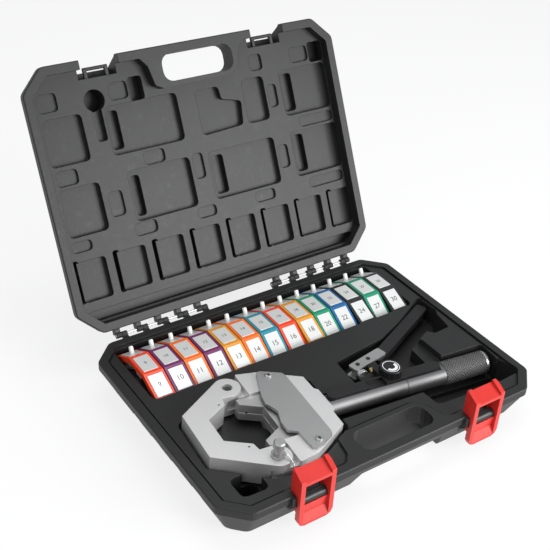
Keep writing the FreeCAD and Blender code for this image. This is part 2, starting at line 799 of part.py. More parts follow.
def cover_screws():
    """Two pan heads on top and two sunk ones below."""
    pieces = []
    for u, v in screw_sites():
        top = cover_thickness
        steps = [(0.0, screw_head_radius), (1.4, screw_head_radius), (screw_head_height, 3.8)]
        head = through_rings([ring_of(vec(u, v, top + up), vec(1, 0), vec(0, 1), radius, 16)
                              for up, radius in steps])
        shank = sided_rod(screw_shank_radius, vec(u, v, top - 14.0), vec(u, v, top), 12)
        cross = [block(u - 3.0, u + 3.0, v - 0.5, v + 0.5, top + 1.2, top + 4.0),
                 block(u - 0.5, u + 0.5, v - 3.0, v + 3.0, top + 1.2, top + 4.0)]
        pieces.append(cut(joined([head, shank]), cross))
        low = -head_thickness - cover_thickness
        sunk = sided_rod(screw_head_radius, vec(u, v, low), vec(u, v, low + 2.5), 16)
        stem = sided_rod(screw_shank_radius, vec(u, v, low + 2.5), vec(u, v, low + 14.0), 12)
        pieces.append(joined([sunk, stem]))
    return Part.makeCompound(pieces)


def ram():
    """The moving jaw: three flats of the hexagon in front, a guided flange behind."""
    flat_u = gate_flat_u + ram_rest_opening
    half_side = hex_side / 2.0
    tip_u = 1.5
    tip_v = half_side + (flat_u - tip_u) * math.tan(math.radians(30.0))
    half = [(ram_back_u, ram_half_width), (tip_u, ram_half_width), (tip_u, tip_v), (flat_u, half_side)]
    outline = half + [(u, -v) for u, v in reversed(half)]
    t = head_thickness
    body = plate(outline, -t + ram_drop, -ram_drop)
    flange = block(ram_back_u - ram_flange_length, ram_back_u, -ram_half_width, ram_half_width,
                   -t + slot_clearance, -slot_clearance)
    body = joined([body, flange])
    middle = -t / 2.0
    groove_wall = [(u + 1.2, v) for u, v in [(tip_u - 4.0, tip_v + 2.3), (flat_u, half_side)]]
    groove = [(tip_u - 10.0, tip_v)] + groove_wall + [(u, -v) for u, v in reversed(groove_wall)]
    groove.append((tip_u - 10.0, -tip_v))
    cutters = [plate(groove, middle - 1.5, middle + 1.5)]
    for angle in (-60.0, 0.0, 60.0):
        direction = vec(math.cos(math.radians(angle)), math.sin(math.radians(angle)))
        centre = vec(flat_u - hex_apothem, 0, middle)
        start = centre + direction * (hex_apothem - 1.0)
        cutters.append(rod(2.0, start, start + direction * 9.0))
    cutters.append(rod(rod_radius + running_clearance, vec(ram_back_u - 8.0, 0, tube_axis_w),
                       vec(ram_back_u + 1.0, 0, tube_axis_w)))
    return cut(body, cutters)


def spring_clip(at_u, facing):
    """A folded leaf that holds a die against a flat of the head."""
    middle = -head_thickness / 2.0
    u0 = at_u
    leaf = [(u0, -5.0), (u0 + facing * 0.8, -5.0), (u0 + facing * 3.4, 0.0), (u0 + facing * 0.8, 5.0),
            (u0, 5.0), (u0 + facing * 2.4, 0.0)]
    body = plate(leaf, middle - 4.5, middle + 4.5)
    stud = rod(2.0, vec(u0 - facing * 7.0, 0, middle), vec(u0 + facing * 3.0, 0, middle))
    return joined([body, stud])


def piston():
    start, end = piston_u
    bar = rod(rod_radius, vec(ram_back_u - 7.7, 0, tube_axis_w), vec(start, 0, tube_axis_w))
    head = rod(bore_radius - running_clearance, vec(start, 0, tube_axis_w), vec(end, 0, tube_axis_w))
    groove = rod(bore_radius + 1.0, vec(start + 4.0, 0, tube_axis_w), vec(start + 7.2, 0, tube_axis_w))
    core = rod(bore_radius - 2.0, vec(start + 3.0, 0, tube_axis_w), vec(start + 9.0, 0, tube_axis_w))
    groove = groove.cut(core)
    return cut(joined([bar, head]), [groove])


def piston_seal():
    start = piston_u[0] + 4.1
    outer = rod(bore_radius - 0.02, vec(start, 0, tube_axis_w), vec(start + 3.0, 0, tube_axis_w))
    inner = rod(bore_radius - 1.9, vec(start - 1.0, 0, tube_axis_w), vec(start + 5.0, 0, tube_axis_w))
    return outer.cut(inner)


def return_spring():
    """A coil round the piston rod that pulls the ram back when the oil is let out."""
    low = neck_u + 3.4 + ram_stroke
    length = piston_u[0] - 0.3 - low
    mean = bore_radius - spring_wire - 1.0
    steps = spring_turns * 12
    rings = []
    for k in range(steps + 1):
        angle = 2.0 * math.pi * k / 12.0
        out = vec(0, math.cos(angle), math.sin(angle))
        along = low + spring_wire + (length - 2.0 * spring_wire) * k / steps
        centre = vec(along, 0, tube_axis_w) + out * mean
        rings.append(ring_of(centre, out, vec(1, 0, 0), spring_wire, 4))
    return through_rings(rings, True)


def tube_flat(u0, u1):
    """The flat on which the pump bar lies."""
    return block(u0, u1, bar_v[0] - 0.1, tube_radius + 5.0, bar_bottom_w, 20.0)


def cylinder_tube():
    """The hydraulic cylinder: a round tube from the neck to the seam."""
    body = rod(tube_radius, vec(neck_u, 0, tube_axis_w), vec(tube_seam_u, 0, tube_axis_w))
    bore = rod(bore_radius + 0.02, vec(neck_u - 1.0, 0, tube_axis_w), vec(bore_end_u, 0, tube_axis_w))
    return cut(body, [bore, tube_flat(neck_u - 1.0, tube_seam_u + 1.0)])


def reservoir_tube():
    """The oil reservoir: the rear of the handle."""
    start = tube_seam_u + 0.3
    end = grip_u[1] - grip_ring_length
    body = rod(tube_radius, vec(start, 0, tube_axis_w), vec(grip_u[0], 0, tube_axis_w))
    core = rod(tube_radius - 1.0, vec(grip_u[0] - 1.0, 0, tube_axis_w), vec(end, 0, tube_axis_w))
    return cut(joined([body, core]), [tube_flat(start - 1.0, bar_end_u + 0.3)])


def handle_grip():
    """A sleeve with shallow grooves along it, over the reservoir's rear."""
    u0, u1 = grip_u
    end = u1 - grip_ring_length
    step = 2.0 * math.pi / grip_grooves
    rim = []
    for i in range(grip_grooves):
        for share, radius in ((-0.32, grip_radius), (0.32, grip_radius), (0.5, grip_radius - 0.6)):
            angle = step * (i + share)
            rim.append(vec(u0, radius * math.cos(angle), tube_axis_w + radius * math.sin(angle)))
    sleeve = flat_face(rim).extrude(vec(end - u0, 0, 0))
    core = vec(u0 - 1.0, 0, tube_axis_w), vec(end + 1.0, 0, tube_axis_w)
    return sleeve.cut(rod(tube_radius - 1.0 + 0.02, core[0], core[1]))


def grip_end_ring():
    """A bright collar and the domed cap behind it."""
    start = grip_u[1] - grip_ring_length
    collar = rod(grip_radius - 0.4, vec(start, 0, tube_axis_w), vec(start + 2.4, 0, tube_axis_w))
    cap = Part.makeCone(grip_radius - 0.6, grip_radius - 3.0, grip_ring_length - 2.4,
                        vec(start + 2.4, 0, tube_axis_w), vec(1, 0, 0))
    return joined([collar, cap])


def pump_body():
    """The bar along the tube, the valve block beside it and the lever's pivot arm."""
    v0, v1 = bar_v
    u0, u1 = block_u
    bar = plate(rectangle(neck_u + 3.0, bar_end_u, v0, v1), bar_bottom_w, bar_top_w, 7.5)
    recess = block(172.0, 199.0, v0 - 1.0, v1 - 2.0, -1.2, 20.0)
    tall = plate(rectangle(199.0, u1, v0, block_v), -27.0, bar_top_w, 3.0)
    low = plate(rectangle(u0, 203.0, v1 - 4.0, block_v), -27.0, -5.0, 2.0)
    arm_low = lever_middle_w() - link_gap / 2.0 + 0.2
    arm_high = lever_middle_w() + link_gap / 2.0 - 0.2
    arm = block(pivot_u - 8.0, pivot_u + 8.0, block_v - 2.0, pivot_v, arm_low, arm_high)
    eye = rod(8.0, vec(pivot_u, pivot_v, arm_low), vec(pivot_u, pivot_v, arm_high))
    body = joined([bar.cut(recess), tall, low, arm, eye])
    tube = rod(tube_radius + 0.02, vec(100.0, 0, tube_axis_w), vec(300.0, 0, tube_axis_w))
    kept_flat = block(99.0, 301.0, v0 - 0.1, 60.0, bar_bottom_w, 20.0)
    cutters = [tube.cut(kept_flat)]
    cutters.append(rod(stem_radius + 0.1, vec(knob_u, knob_v, bar_bottom_w), vec(knob_u, knob_v, 20.0)))
    barrel = vec(plunger_u, 15.5, plunger_w), vec(plunger_u, 60.0, plunger_w)
    cutters.append(rod(plunger_radius + running_clearance, barrel[0], barrel[1]))
    pivot = vec(pivot_u, pivot_v, -40.0), vec(pivot_u, pivot_v, 20.0)
    cutters.append(rod(link_pin_radius + running_clearance, pivot[0], pivot[1]))
    return cut(body, cutters)


def lever_middle_w():
    """Middle height of the link plates: the plunger and the arm lie between them."""
    return plunger_w


def plunger_gland():
    body = rod(8.0, vec(plunger_u, block_v, plunger_w), vec(plunger_u, block_v + 5.0, plunger_w))
    nut = Part.makeCylinder(6.2, 3.0, vec(plunger_u, block_v + 5.0, plunger_w), vec(0, 1, 0))
    barrel = vec(plunger_u, 20.0, plunger_w), vec(plunger_u, 60.0, plunger_w)
    bore = rod(plunger_radius + running_clearance, barrel[0], barrel[1])
    return cut(joined([body, nut]), [bore])


def pump_plunger():
    """A ground pin with a flat eye for the drive pin."""
    start = 17.0
    end = vec(plunger_u, drive_pin_v - 5.0, plunger_w)
    shank = rod(plunger_radius, vec(plunger_u, start, plunger_w), end)
    half = link_gap / 2.0 - 0.2
    eye = plate(rectangle(plunger_u - 5.6, plunger_u + 5.6, drive_pin_v - 6.5, drive_pin_v + 5.5),
                plunger_w - half, plunger_w + half, 4.0)
    slot = plate(rectangle(plunger_u - 4.0, plunger_u + 4.0, drive_pin_v - link_pin_radius - 0.1,
                           drive_pin_v + link_pin_radius + 0.1), -40.0, 20.0, 2.9)
    return cut(joined([shank, eye]), [slot])


def lever_link():
    """Two bright side plates that join the lever to its pivot and the drive pin."""
    outline = [(174.0, 50.5), (234.5, 69.2), (239.5, 54.2), (179.0, 35.5)]
    half = link_gap / 2.0
    upper = plate(outline, plunger_w + half, plunger_w + half + link_plate, 3.0)
    lower = plate(outline, plunger_w - half - link_plate, plunger_w - half, 3.0)
    holes = []
    for (u, v), high in zip(link_pin_places(), link_pin_tops()):
        holes.append(rod(link_pin_radius + 0.02, vec(u, v, -40.0), vec(u, v, high)))
    return cut(Part.makeCompound([upper, lower]), holes)


def link_pin_places():
    """The drive pin, the pivot pin and the rivet through the lever's end."""
    return [(plunger_u, drive_pin_v), (pivot_u, pivot_v), (lever_start[0] + 9.0, lever_start[1] + 5.4)]


def link_pin_tops():
    """Two pins show above the upper plate; the rivet ends inside the lever."""
    shown = plunger_w + link_gap / 2.0 + link_plate + 0.6
    return [shown, shown, plunger_w + link_gap / 2.0 - 2.0]


def link_pins():
    pins = []
    low = plunger_w - link_gap / 2.0 - link_plate
    for (u, v), high in zip(link_pin_places(), link_pin_tops()):
        pins.append(rod(link_pin_radius, vec(u, v, low), vec(u, v, high)))
    return Part.makeCompound(pins)


def pump_lever():
    """A pressed channel with a rounded end, held between the link plates."""
    half = lever_width / 2.0
    top = plunger_w + link_gap / 2.0
    bottom = plunger_w - link_gap / 2.0
    outline = rectangle(0.0, lever_length, -half, half)
    body = plate(outline, bottom, top, 5.0)
    hollow = rectangle(22.0, lever_length - 3.0, -half + 2.0, half - 2.0)
    inside = plate(hollow, bottom - 1.0, top - 2.5, 3.5, 2)
    body = cut(body, [inside])
    turn = FreeCAD.Rotation(vec(0, 0, 1), lever_angle)
    body.Placement = FreeCAD.Placement(vec(lever_start[0], lever_start[1], 0), turn)
    u, v = link_pin_places()[2]
    return cut(body, [rod(link_pin_radius + 0.02, vec(u, v, -40.0), vec(u, v, top - 2.0))])


def release_stem():
    return rod(stem_radius, vec(knob_u, knob_v, bar_bottom_w + 0.3), vec(knob_u, knob_v, bar_top_w + 0.4))


def release_knob():
    """A round knob with finger scallops that opens the release valve."""
    low = bar_top_w + 0.4
    high = low + knob_height
    body = revolved([(0.0, low), (knob_radius, low), (knob_radius, high - 1.0), (knob_radius - 1.0, high),
                     (0.0, high)], knob_u, knob_v)
    scallops = []
    for i in range(12):
        angle = 2.0 * math.pi * i / 12
        x = knob_u + (knob_radius + 1.6) * math.cos(angle)
        y = knob_v + (knob_radius + 1.6) * math.sin(angle)
        scallops.append(sided_rod(2.4, vec(x, y, low - 1.0), vec(x, y, high - 2.6), 8))
    return cut(body, scallops)


def gate_hinge_pin():
    low = vec(0, ear_half_spacing, -head_thickness + 1.0)
    return rod(ear_pin_radius, low, vec(0, ear_half_spacing, -5.0))


def lock_pin():
    """The pull-out pin with a flange and a waisted head."""
    profile = [(0.0, 1.0 - head_thickness), (ear_pin_radius, 1.0 - head_thickness),
               (ear_pin_radius, 0.4), (9.0, 0.4), (9.0, 3.4), (5.5, 3.4), (5.5, 12.0), (7.5, 13.5),
               (7.5, 20.5), (6.0, 22.0), (0.0, 22.0)]
    return revolved(profile, 0.0, -ear_half_spacing)


def chain_points():
    """Bead centres from the lock pin's flange out over the head's near side."""
    points = []
    for i in range(chain_beads):
        share = i / (chain_beads - 1.0)
        out = -8.0 - 12.0 * math.sin(share * math.pi / 2.0)
        points.append(vec(7.5 + 6.0 * share, -ear_half_spacing + out, 5.0 - 3.0 * share - 12.0 * share ** 2))
    return points


def pin_chain():
    """A short bead chain: a thin cord that swells at each bead."""
    rings = []
    points = chain_points()
    for i in range(len(points)):
        way = (points[min(i + 1, len(points) - 1)] - points[max(i - 1, 0)]).normalize()
        across = way.cross(vec(0, 0, 1)).normalize()
        up = across.cross(way)
        for along, radius in ((-1.3, 0.5), (-0.7, 1.3), (0.7, 1.3), (1.3, 0.5)):
            rings.append(ring_of(points[i] + way * along, across, up, radius, 6))
    return through_rings(rings, True)


def facet_frame(tilt, forward):
    """Middle of a facet, its direction along the band and its outward normal, in Y and Z."""
    mid_y = front + die_mid_from_front
    top = rim_z + die_top_above_rim
    if forward == 0:
        return (mid_y, top), (1.0, 0.0), (0.0, 1.0)
    half = jaw_face_length / 2.0 + jaw_gap / 2.0
    angle = math.radians(tilt)
    along = (forward * math.cos(angle), -math.sin(angle))
    normal = (forward * math.sin(angle), math.cos(angle))
    bend = mid_y + forward * half
    return (bend + along[0] * half, top + along[1] * half), along, normal


def facets(index):
    return [facet_frame(front_tilts[index], -1.0), facet_frame(0.0, 0), facet_frame(back_tilt, 1.0)]


def at(facet, along, out):
    (y, z), (ay, az), (ny, nz) = facet
    return y + ay * along + ny * out, z + az * along + nz * out


def jaw_half_length(depth, grow=0.0):
    return jaw_face_length / 2.0 - depth * math.tan(math.radians(30.0)) + grow


def die_x(index):
    return first_die_x + die_pitch * index


def jaw(index, facet, grow=0.0):
    """One steel wedge; its inner end is hollowed to the size it crimps."""
    x0 = die_x(index) - jaw_face_width / 2.0 - grow
    x1 = die_x(index) + jaw_face_width / 2.0 + grow
    top = grow
    face = jaw_half_length(0.0, grow)
    tip = jaw_half_length(jaw_height, grow)
    points = [at(facet, -face, top), at(facet, face, top), at(facet, tip, -jaw_height),
              at(facet, -tip, -jaw_height)]
    return side_profile(points, x0, x1)


def die_jaws(index):
    pieces = []
    x = die_x(index)
    for number, facet in enumerate(facets(index)):
        body = jaw(index, facet)
        bore = jaw_bores[index]
        tip = jaw_half_length(jaw_height)
        sink = math.sqrt(bore ** 2 - tip ** 2) if bore > tip else bore * 0.3
        y, z = at(facet, 0.0, -jaw_height - sink)
        body = body.cut(rod(bore, vec(x - 20.0, y, z), vec(x + 20.0, y, z)))
        if number == 2:
            y0, z0 = at(facet, 0.0, -1.0)
            y1, z1 = at(facet, 0.0, peg_length)
            body = body.fuse(rod(peg_radius, vec(x, y0, z0), vec(x, y1, z1)))
        pieces.append(body.removeSplitter())
    return Part.makeCompound(pieces)


def die_band(index):
    """The flexible coloured carrier, one strip with a window for each jaw."""
    front_facet, middle, back_facet = facets(index)
    reach = jaw_face_length / 2.0 + band_end_bar
    bend = jaw_face_length / 2.0 + jaw_gap / 2.0
    outer = -jaw_proud
    inner = -jaw_proud - band_thickness
    top = [at(front_facet, reach, outer), at(middle, -bend, outer), at(middle, bend, outer),
           at(back_facet, reach, outer)]
    front_trim = band_thickness * math.tan(math.radians(front_tilts[index] / 2.0))
    back_trim = band_thickness * math.tan(math.radians(back_tilt / 2.0))
    bottom = [at(back_facet, reach - 1.0, inner), at(middle, bend - back_trim, inner),
              at(middle, -bend + front_trim, inner), at(front_facet, reach - 1.0, inner)]
    x = die_x(index)
    body = side_profile(top + bottom, x - band_width / 2.0, x + band_width / 2.0)
    windows = [jaw(index, facet, 0.15) for facet in facets(index)]
    return cut(body, windows)


def die_nest(index):
    """A stepped saddle in the trough on which the tips of one die's jaws rest."""
    tip = jaw_half_length(jaw_height)
    rest = -jaw_height - seat_gap
    front_facet, middle, back_facet = facets(index)
    ridge = [at(front_facet, tip, rest), at(front_facet, -tip, rest), at(middle, -tip, rest),
             at(middle, tip, rest), at(back_facet, -tip, rest), at(back_facet, tip, rest)]
    low = trough_floor - 1.0
    ridge = [(ridge[0][0] - 3.0, low)] + ridge + [(ridge[-1][0] + 3.0, low)]
    x = die_x(index)
    return side_profile(ridge, x - die_pitch / 2.0, x + die_pitch / 2.0)


def export(name, shape):
    shape.exportStep("parts/" + name + ".step")


def main():
    os.makedirs("parts", exist_ok=True)
    export("case_base", case_base())
    lid_shell, lid_rim = case_lid()
    export("case_lid", lid_shell)
    export("lid_rim", lid_rim)
    export("hinge_pins", hinge_pins())
    export("latch_bars", latch_bars())
    export("latch_left", latch(-1.0))
    export("latch_right", latch(1.0))
    tool = {
        "head_body": head_body(), "gate": gate(), "gate_hinge_pin": gate_hinge_pin(), "lock_pin": lock_pin(),
        "pin_chain": pin_chain(), "cover_plate_top": cover_plate(0.0, cover_thickness, False),
        "cover_plate_bottom": cover_plate(-head_thickness - cover_thickness, -head_thickness, True),
        "cover_screws": cover_screws(), "ram": ram(), "piston": piston(), "piston_seal": piston_seal(),
        "return_spring": return_spring(), "cylinder_tube": cylinder_tube(),
        "reservoir_tube": reservoir_tube(),
        "handle_grip": handle_grip(), "grip_end_ring": grip_end_ring(),
        "pump_body": pump_body(), "release_stem": release_stem(), "release_knob": release_knob(),
        "plunger_gland": plunger_gland(), "pump_plunger": pump_plunger(), "lever_link": lever_link(),
        "link_pins": link_pins(), "pump_lever": pump_lever(),
        "gate_spring_clip": spring_clip(gate_flat_u, 1.0),
    }
    for name, shape in tool.items():
        export(name, placed(shape))
    for i in range(die_count):
        export("die_jaws_%02d" % (i + 1), die_jaws(i))
        export("die_band_%02d" % (i + 1), die_band(i))


main()
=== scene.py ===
# %% [markdown]
# # A hose crimper in its carrying case
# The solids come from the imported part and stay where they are. This script gives them their looks: the grained
# black plastic, the blasted and ground steel, the coloured die carriers, and the small marks that are printed or
# cut into them.
# %% Load the solids
import json
import math

import bpy
from mathutils import Matrix, Vector


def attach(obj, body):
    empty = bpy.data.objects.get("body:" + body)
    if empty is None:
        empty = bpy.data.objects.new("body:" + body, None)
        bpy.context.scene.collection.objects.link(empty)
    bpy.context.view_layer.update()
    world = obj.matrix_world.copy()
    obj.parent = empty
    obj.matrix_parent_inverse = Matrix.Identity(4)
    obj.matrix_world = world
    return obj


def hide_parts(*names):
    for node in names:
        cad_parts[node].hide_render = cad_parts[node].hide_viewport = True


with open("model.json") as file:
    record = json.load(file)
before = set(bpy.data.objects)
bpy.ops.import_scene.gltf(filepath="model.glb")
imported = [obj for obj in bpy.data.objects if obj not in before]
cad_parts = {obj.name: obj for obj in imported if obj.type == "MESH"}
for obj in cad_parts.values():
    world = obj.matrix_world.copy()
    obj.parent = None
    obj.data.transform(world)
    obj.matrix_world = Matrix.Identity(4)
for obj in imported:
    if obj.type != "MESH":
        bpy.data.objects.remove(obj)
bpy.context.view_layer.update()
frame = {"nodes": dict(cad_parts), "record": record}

nodes = frame["nodes"]
scene = bpy.context.scene
for solid in nodes.values():
    solid.data.materials.clear()
for plain in list(bpy.data.materials):
    bpy.data.materials.remove(plain)

# %% [markdown]
# ## The camera
# The photograph looks down on the case from its front left corner, at about head height of someone at a bench. A
# camera is placed by its position and three angles. Blender's camera looks along its own -Z, so its matrix is
# made of the right, up and backward directions.
# %% Camera
eye = Vector((-0.6847, -0.8373, 0.9152))
turn_left = math.radians(-35.95)
look_down = math.radians(33.51)
roll = math.radians(3.73)
lens_mm = 66.36

back = Vector((math.sin(turn_left) * math.cos(look_down), -math.cos(turn_left) * math.cos(look_down),
               math.sin(look_down)))
level = Vector((0, 0, 1)).cross(back).normalized()
upright = back.cross(level)
right = level * math.cos(roll) + upright * math.sin(roll)
up = upright * math.cos(roll) - level * math.sin(roll)

camera_data = bpy.data.cameras.new("camera")
camera_data.lens = lens_mm
camera_data.sensor_width = 36.0
camera_data.clip_end = 20.0
camera = bpy.data.objects.new("camera", camera_data)
camera.matrix_world = Matrix.Translation(eye) @ Matrix((right, up, back)).transposed().to_4x4()
scene.collection.objects.link(camera)
scene.camera = camera
print("camera at", [round(v, 3) for v in eye])

# %% [markdown]
# ## Shader sums as plain expressions
# A finish is built from noise, masks and mixes. Wrapping a socket in a small class lets the sums be written as
# ordinary Python, and every other node comes from one method that takes its settings and its inputs.
# %% A socket that can be added and multiplied


class Sum:
    """One output socket of a material's tree."""

    def __init__(self, tree, socket):
        self.tree = tree
        self.socket = socket

    def math(self, kind, other):
        node = self.tree.nodes.new("ShaderNodeMath")
        node.operation = kind
        for slot, value in enumerate((self, other)):
            if isinstance(value, Sum):
                self.tree.links.new(value.socket, node.inputs[slot])
            else:
                node.inputs[slot].default_value = value
        return Sum(self.tree, node.outputs[0])

    def __add__(self, other):
        return self.math("ADD", other)

    def __mul__(self, other):
        return self.math("MULTIPLY", other)

    def __sub__(self, other):
        return self.math("SUBTRACT", other)

    def clipped(self):
        return self.math("MINIMUM", 1.0).math("MAXIMUM", 0.0)


class Finish:
    """A material, its main shader, and one way to add a node."""

    def __init__(self, name):
        self.material = bpy.data.materials.new(name)
        self.material.use_nodes = True
        self.tree = self.material.node_tree
        self.shader = self.tree.nodes["Principled BSDF"]
        self.place = self.node("ShaderNodeTexCoord", output="Object")

    def node(self, kind, settings=None, inputs=None, output=0):
        node = self.tree.nodes.new(kind)
        for key, value in (settings or {}).items():
            if key == "stops":
                for i, (position, colour) in enumerate(value):
                    ramp = node.color_ramp.elements
                    stop = ramp[i] if i < 2 else ramp.new(position)
                    stop.position = position
                    stop.color = (*colour, 1.0)
            else:
                setattr(node, key, value)
        for key, value in (inputs or {}).items():
            self.feed(node.inputs[key], value)
        return Sum(self.tree, node.outputs[output])

    def feed(self, socket, value):
        if isinstance(value, Sum):
            self.tree.links.new(value.socket, socket)
        elif socket.type == "RGBA":
            socket.default_value = (*value, 1.0)
        else:
            socket.default_value = value

    def noise(self, size_mm, detail=3.0, rough=0.55, stretch=(1, 1, 1)):
        """Soft uneven values with features about size_mm across, squeezed along each direction by stretch."""
        where = self.node("ShaderNodeMapping", {}, {"Vector": self.place, "Scale": Vector(stretch)}, "Vector")
        inputs = {"Vector": where, "Scale": 1000.0 / size_mm, "Detail": detail, "Roughness": rough}
        return self.node("ShaderNodeTexNoise", {"noise_dimensions": "3D"}, inputs, 0)

    def ramp(self, value, stops):
        return self.node("ShaderNodeValToRGB", {"stops": stops}, {"Fac": value}, "Color")

    def mix(self, factor, first, second):
        """A colour between two. The mix node's inputs 6 and 7, and its output 2, are the ones for colours."""
        node = self.tree.nodes.new("ShaderNodeMix")
        node.data_type = "RGBA"
        self.feed(node.inputs[0], factor)
        self.feed(node.inputs[6], first)
        self.feed(node.inputs[7], second)
        return Sum(self.tree, node.outputs[2])

    def bump(self, height, depth_mm, strength, edge_mm=0.0):
        """A height as a bump. An edge radius rounds the solid's edges for the light that falls on them."""
        inputs = {"Height": height, "Distance": depth_mm / 1000.0, "Strength": strength}
        if edge_mm > 0.0:
            inputs["Normal"] = self.node("ShaderNodeBevel", {"samples": 6}, {"Radius": edge_mm / 1000.0}, "Normal")
        return self.node("ShaderNodeBump", {}, inputs, "Normal")

    def set(self, **values):
        names = {"colour": "Base Color", "rough": "Roughness", "metal": "Metallic", "normal": "Normal",
                 "coat": "Coat Weight", "coat_rough": "Coat Roughness", "specular": "Specular IOR Level"}
        for key, value in values.items():
            self.feed(self.shader.inputs[names[key]], value)
        return self.material


def blacks(value):
    return (value, value, value)


print("shader helper ready")

# %% [markdown]
# ## Moulded black plastic
# The case is blow moulded, with a fine leather-like grain. The grain hardly changes the colour, but it breaks up
# the gloss, so it is a bump of cells and noise, and the bump also rounds the edges by about a millimetre. Handling
# leaves faint lighter rubs, which are a wide noise cut by a ramp.
# %% Case plastic


def grained_plastic(name, colour, grain_mm=0.55, rough=0.52, rub=0.35):
    f = Finish(name)
    grain = f.node("ShaderNodeTexVoronoi", {"feature": "SMOOTH_F1"},
                   {"Vector": f.place, "Scale": 1000.0 / grain_mm, "Smoothness": 0.6}, 0)
    fine = f.noise(grain_mm * 3.0, 4.0)
    cloud = f.noise(60.0, 3.0)
    rubs = f.ramp(f.noise(9.0, 6.0, 0.7), [(0.55, blacks(0)), (0.72, blacks(1))])
    light = tuple(min(1.0, c * 1.5 + 0.008) for c in colour)
    dark = tuple(c * 0.86 for c in colour)
    base = f.mix(cloud, dark, tuple(c * 1.1 for c in colour))
    base = f.mix(rubs * rub * cloud, base, light)
    level = grain * 0.7 + fine * 0.5
    return f.set(colour=base, rough=(fine * 0.14 + (rough - 0.05) - rubs * 0.06).clipped(),
                 normal=f.bump(level, 0.05, 0.55, 1.3), specular=0.38)


case_plastic = grained_plastic("case_plastic", (0.0140, 0.0143, 0.0143), 0.55, 0.46, 0.25)
bar_plastic = grained_plastic("bar_plastic", (0.017, 0.018, 0.018), 0.8, 0.36)
grip_plastic = grained_plastic("grip_plastic", (0.075, 0.075, 0.075), 0.7, 0.32)
print("plastics:", case_plastic.name, bar_plastic.name, grip_plastic.name)

# %% [markdown]
# ## Coloured mouldings
# The latches and the die carriers are moulded in bright plastic, smoother than the case. A faint cloud of
# slightly darker colour and a very fine bump keep them from looking like paint in a drawing program.
# %% Bright plastics


def bright_plastic(name, colour, rough=0.36, coat=0.15):
    f = Finish(name)
    cloud = f.noise(22.0, 3.0)
    speck = f.noise(0.8, 2.0)
    scuff = f.ramp(f.noise(3.0, 8.0, 0.75, (1, 3, 1)), [(0.60, blacks(0)), (0.78, blacks(1))])
    dark = tuple(c * 0.84 for c in colour)
    pale = tuple(min(1.0, c * 0.85 + 0.06) for c in colour)
    base = f.mix(cloud, dark, tuple(min(1.0, c * 1.08) for c in colour))
    base = f.mix(scuff * 0.22, base, pale)
    return f.set(colour=base, rough=(speck * 0.12 + rough - 0.06 + scuff * 0.15).clipped(),
                 normal=f.bump(speck, 0.02, 0.5, 0.7), coat=coat, coat_rough=0.25)


latch_plastic = bright_plastic("latch_plastic", (0.54, 0.021, 0.015), 0.38, 0.1)
carrier_colours = {
    "die_orange_red": (0.78, 0.060, 0.018), "die_purple": (0.150, 0.020, 0.105), "die_orange": (0.84, 0.150, 0.014),
    "die_ochre": (0.66, 0.270, 0.020), "die_teal": (0.020, 0.235, 0.310), "die_green": (0.006, 0.240, 0.130),
    "die_blue": (0.010, 0.110, 0.290), "die_black": (0.012, 0.012, 0.014),
}
carriers = {name: bright_plastic(name, colour) for name, colour in carrier_colours.items()}
print("carriers:", sorted(carriers))

# %% [markdown]
# ## Steel
# The head is blasted and plated, so it is pale, even and a little speckled. The cover plates are ground in one
# direction. The die jaws are ground bright. They, the brass and the chrome come from one function, whose streaks
# are noise squeezed along a direction, and whose grain size and gloss differ.
# %% Steels


def worked_steel(name, colour, rough, grain_mm, streak=(1, 1, 1), metal=1.0, depth=0.02, stain=0.10):
    f = Finish(name)
    lines = f.noise(grain_mm, 5.0, 0.6, streak)
    cloud = f.noise(35.0, 4.0)
    spots = f.ramp(f.noise(2.2, 6.0, 0.7), [(0.62, blacks(0)), (0.80, blacks(1))])
    dark = tuple(c * 0.80 for c in colour)
    base = f.mix(lines, dark, tuple(min(1.0, c * 1.12) for c in colour))
    base = f.mix(cloud * stain, base, tuple(c * 0.62 for c in colour))
    base = f.mix(spots * 0.25, base, tuple(c * 0.70 for c in colour))
    gloss = (lines * 0.22 + cloud * 0.10 + (rough - 0.14) + spots * 0.10).clipped()
    return f.set(colour=base, rough=gloss, metal=metal, normal=f.bump(lines, depth, 0.6, 0.35))


head_steel = worked_steel("head_steel", (0.79, 0.785, 0.78), 0.46, 0.7, metal=0.82)
cover_steel = worked_steel("cover_steel", (0.46, 0.46, 0.455), 0.40, 1.2, (1, 14, 1), 0.85)
ram_steel = worked_steel("ram_steel", (0.62, 0.615, 0.61), 0.40, 0.6, metal=0.90)
tube_steel = worked_steel("tube_steel", (0.15, 0.15, 0.152), 0.46, 1.4, (14, 1, 1), 0.8)
pin_steel = worked_steel("pin_steel", (0.62, 0.62, 0.63), 0.30, 0.8, (1, 1, 12))
jaw_steel = worked_steel("jaw_steel", (0.74, 0.755, 0.74), 0.30, 1.5, (16, 1, 1), 0.32, 0.006, 0.06)
brass = worked_steel("brass", (0.62, 0.47, 0.24), 0.34, 0.9)
chrome = worked_steel("chrome", (0.85, 0.85, 0.86), 0.16, 0.8, (1, 10, 1), 0.98, 0.004, 0.05)
print("steels ready")

# %% [markdown]
# ## Black steel and rubber
# The pump bar, the valve block and the lever are black oxide steel, smoother than the plastic round them. The
# piston's seal is hidden, but it still has its own dull black.
# %% Black metal and rubber


def black_metal_finish(name, colour, rough):
    f = Finish(name)
    cloud = f.noise(18.0, 4.0)
    fine = f.noise(0.6, 3.0)
    worn = f.ramp(f.noise(5.0, 8.0, 0.75), [(0.64, blacks(0)), (0.76, blacks(1))])
    base = f.mix(cloud, tuple(c * 0.7 for c in colour), tuple(c * 1.25 for c in colour))
    base = f.mix(worn * 0.2, base, blacks(0.10))
    return f.set(colour=base, rough=(fine * 0.15 + rough - 0.05 - worn * 0.08).clipped(), metal=0.25,
                 normal=f.bump(fine, 0.02, 0.5, 0.4))


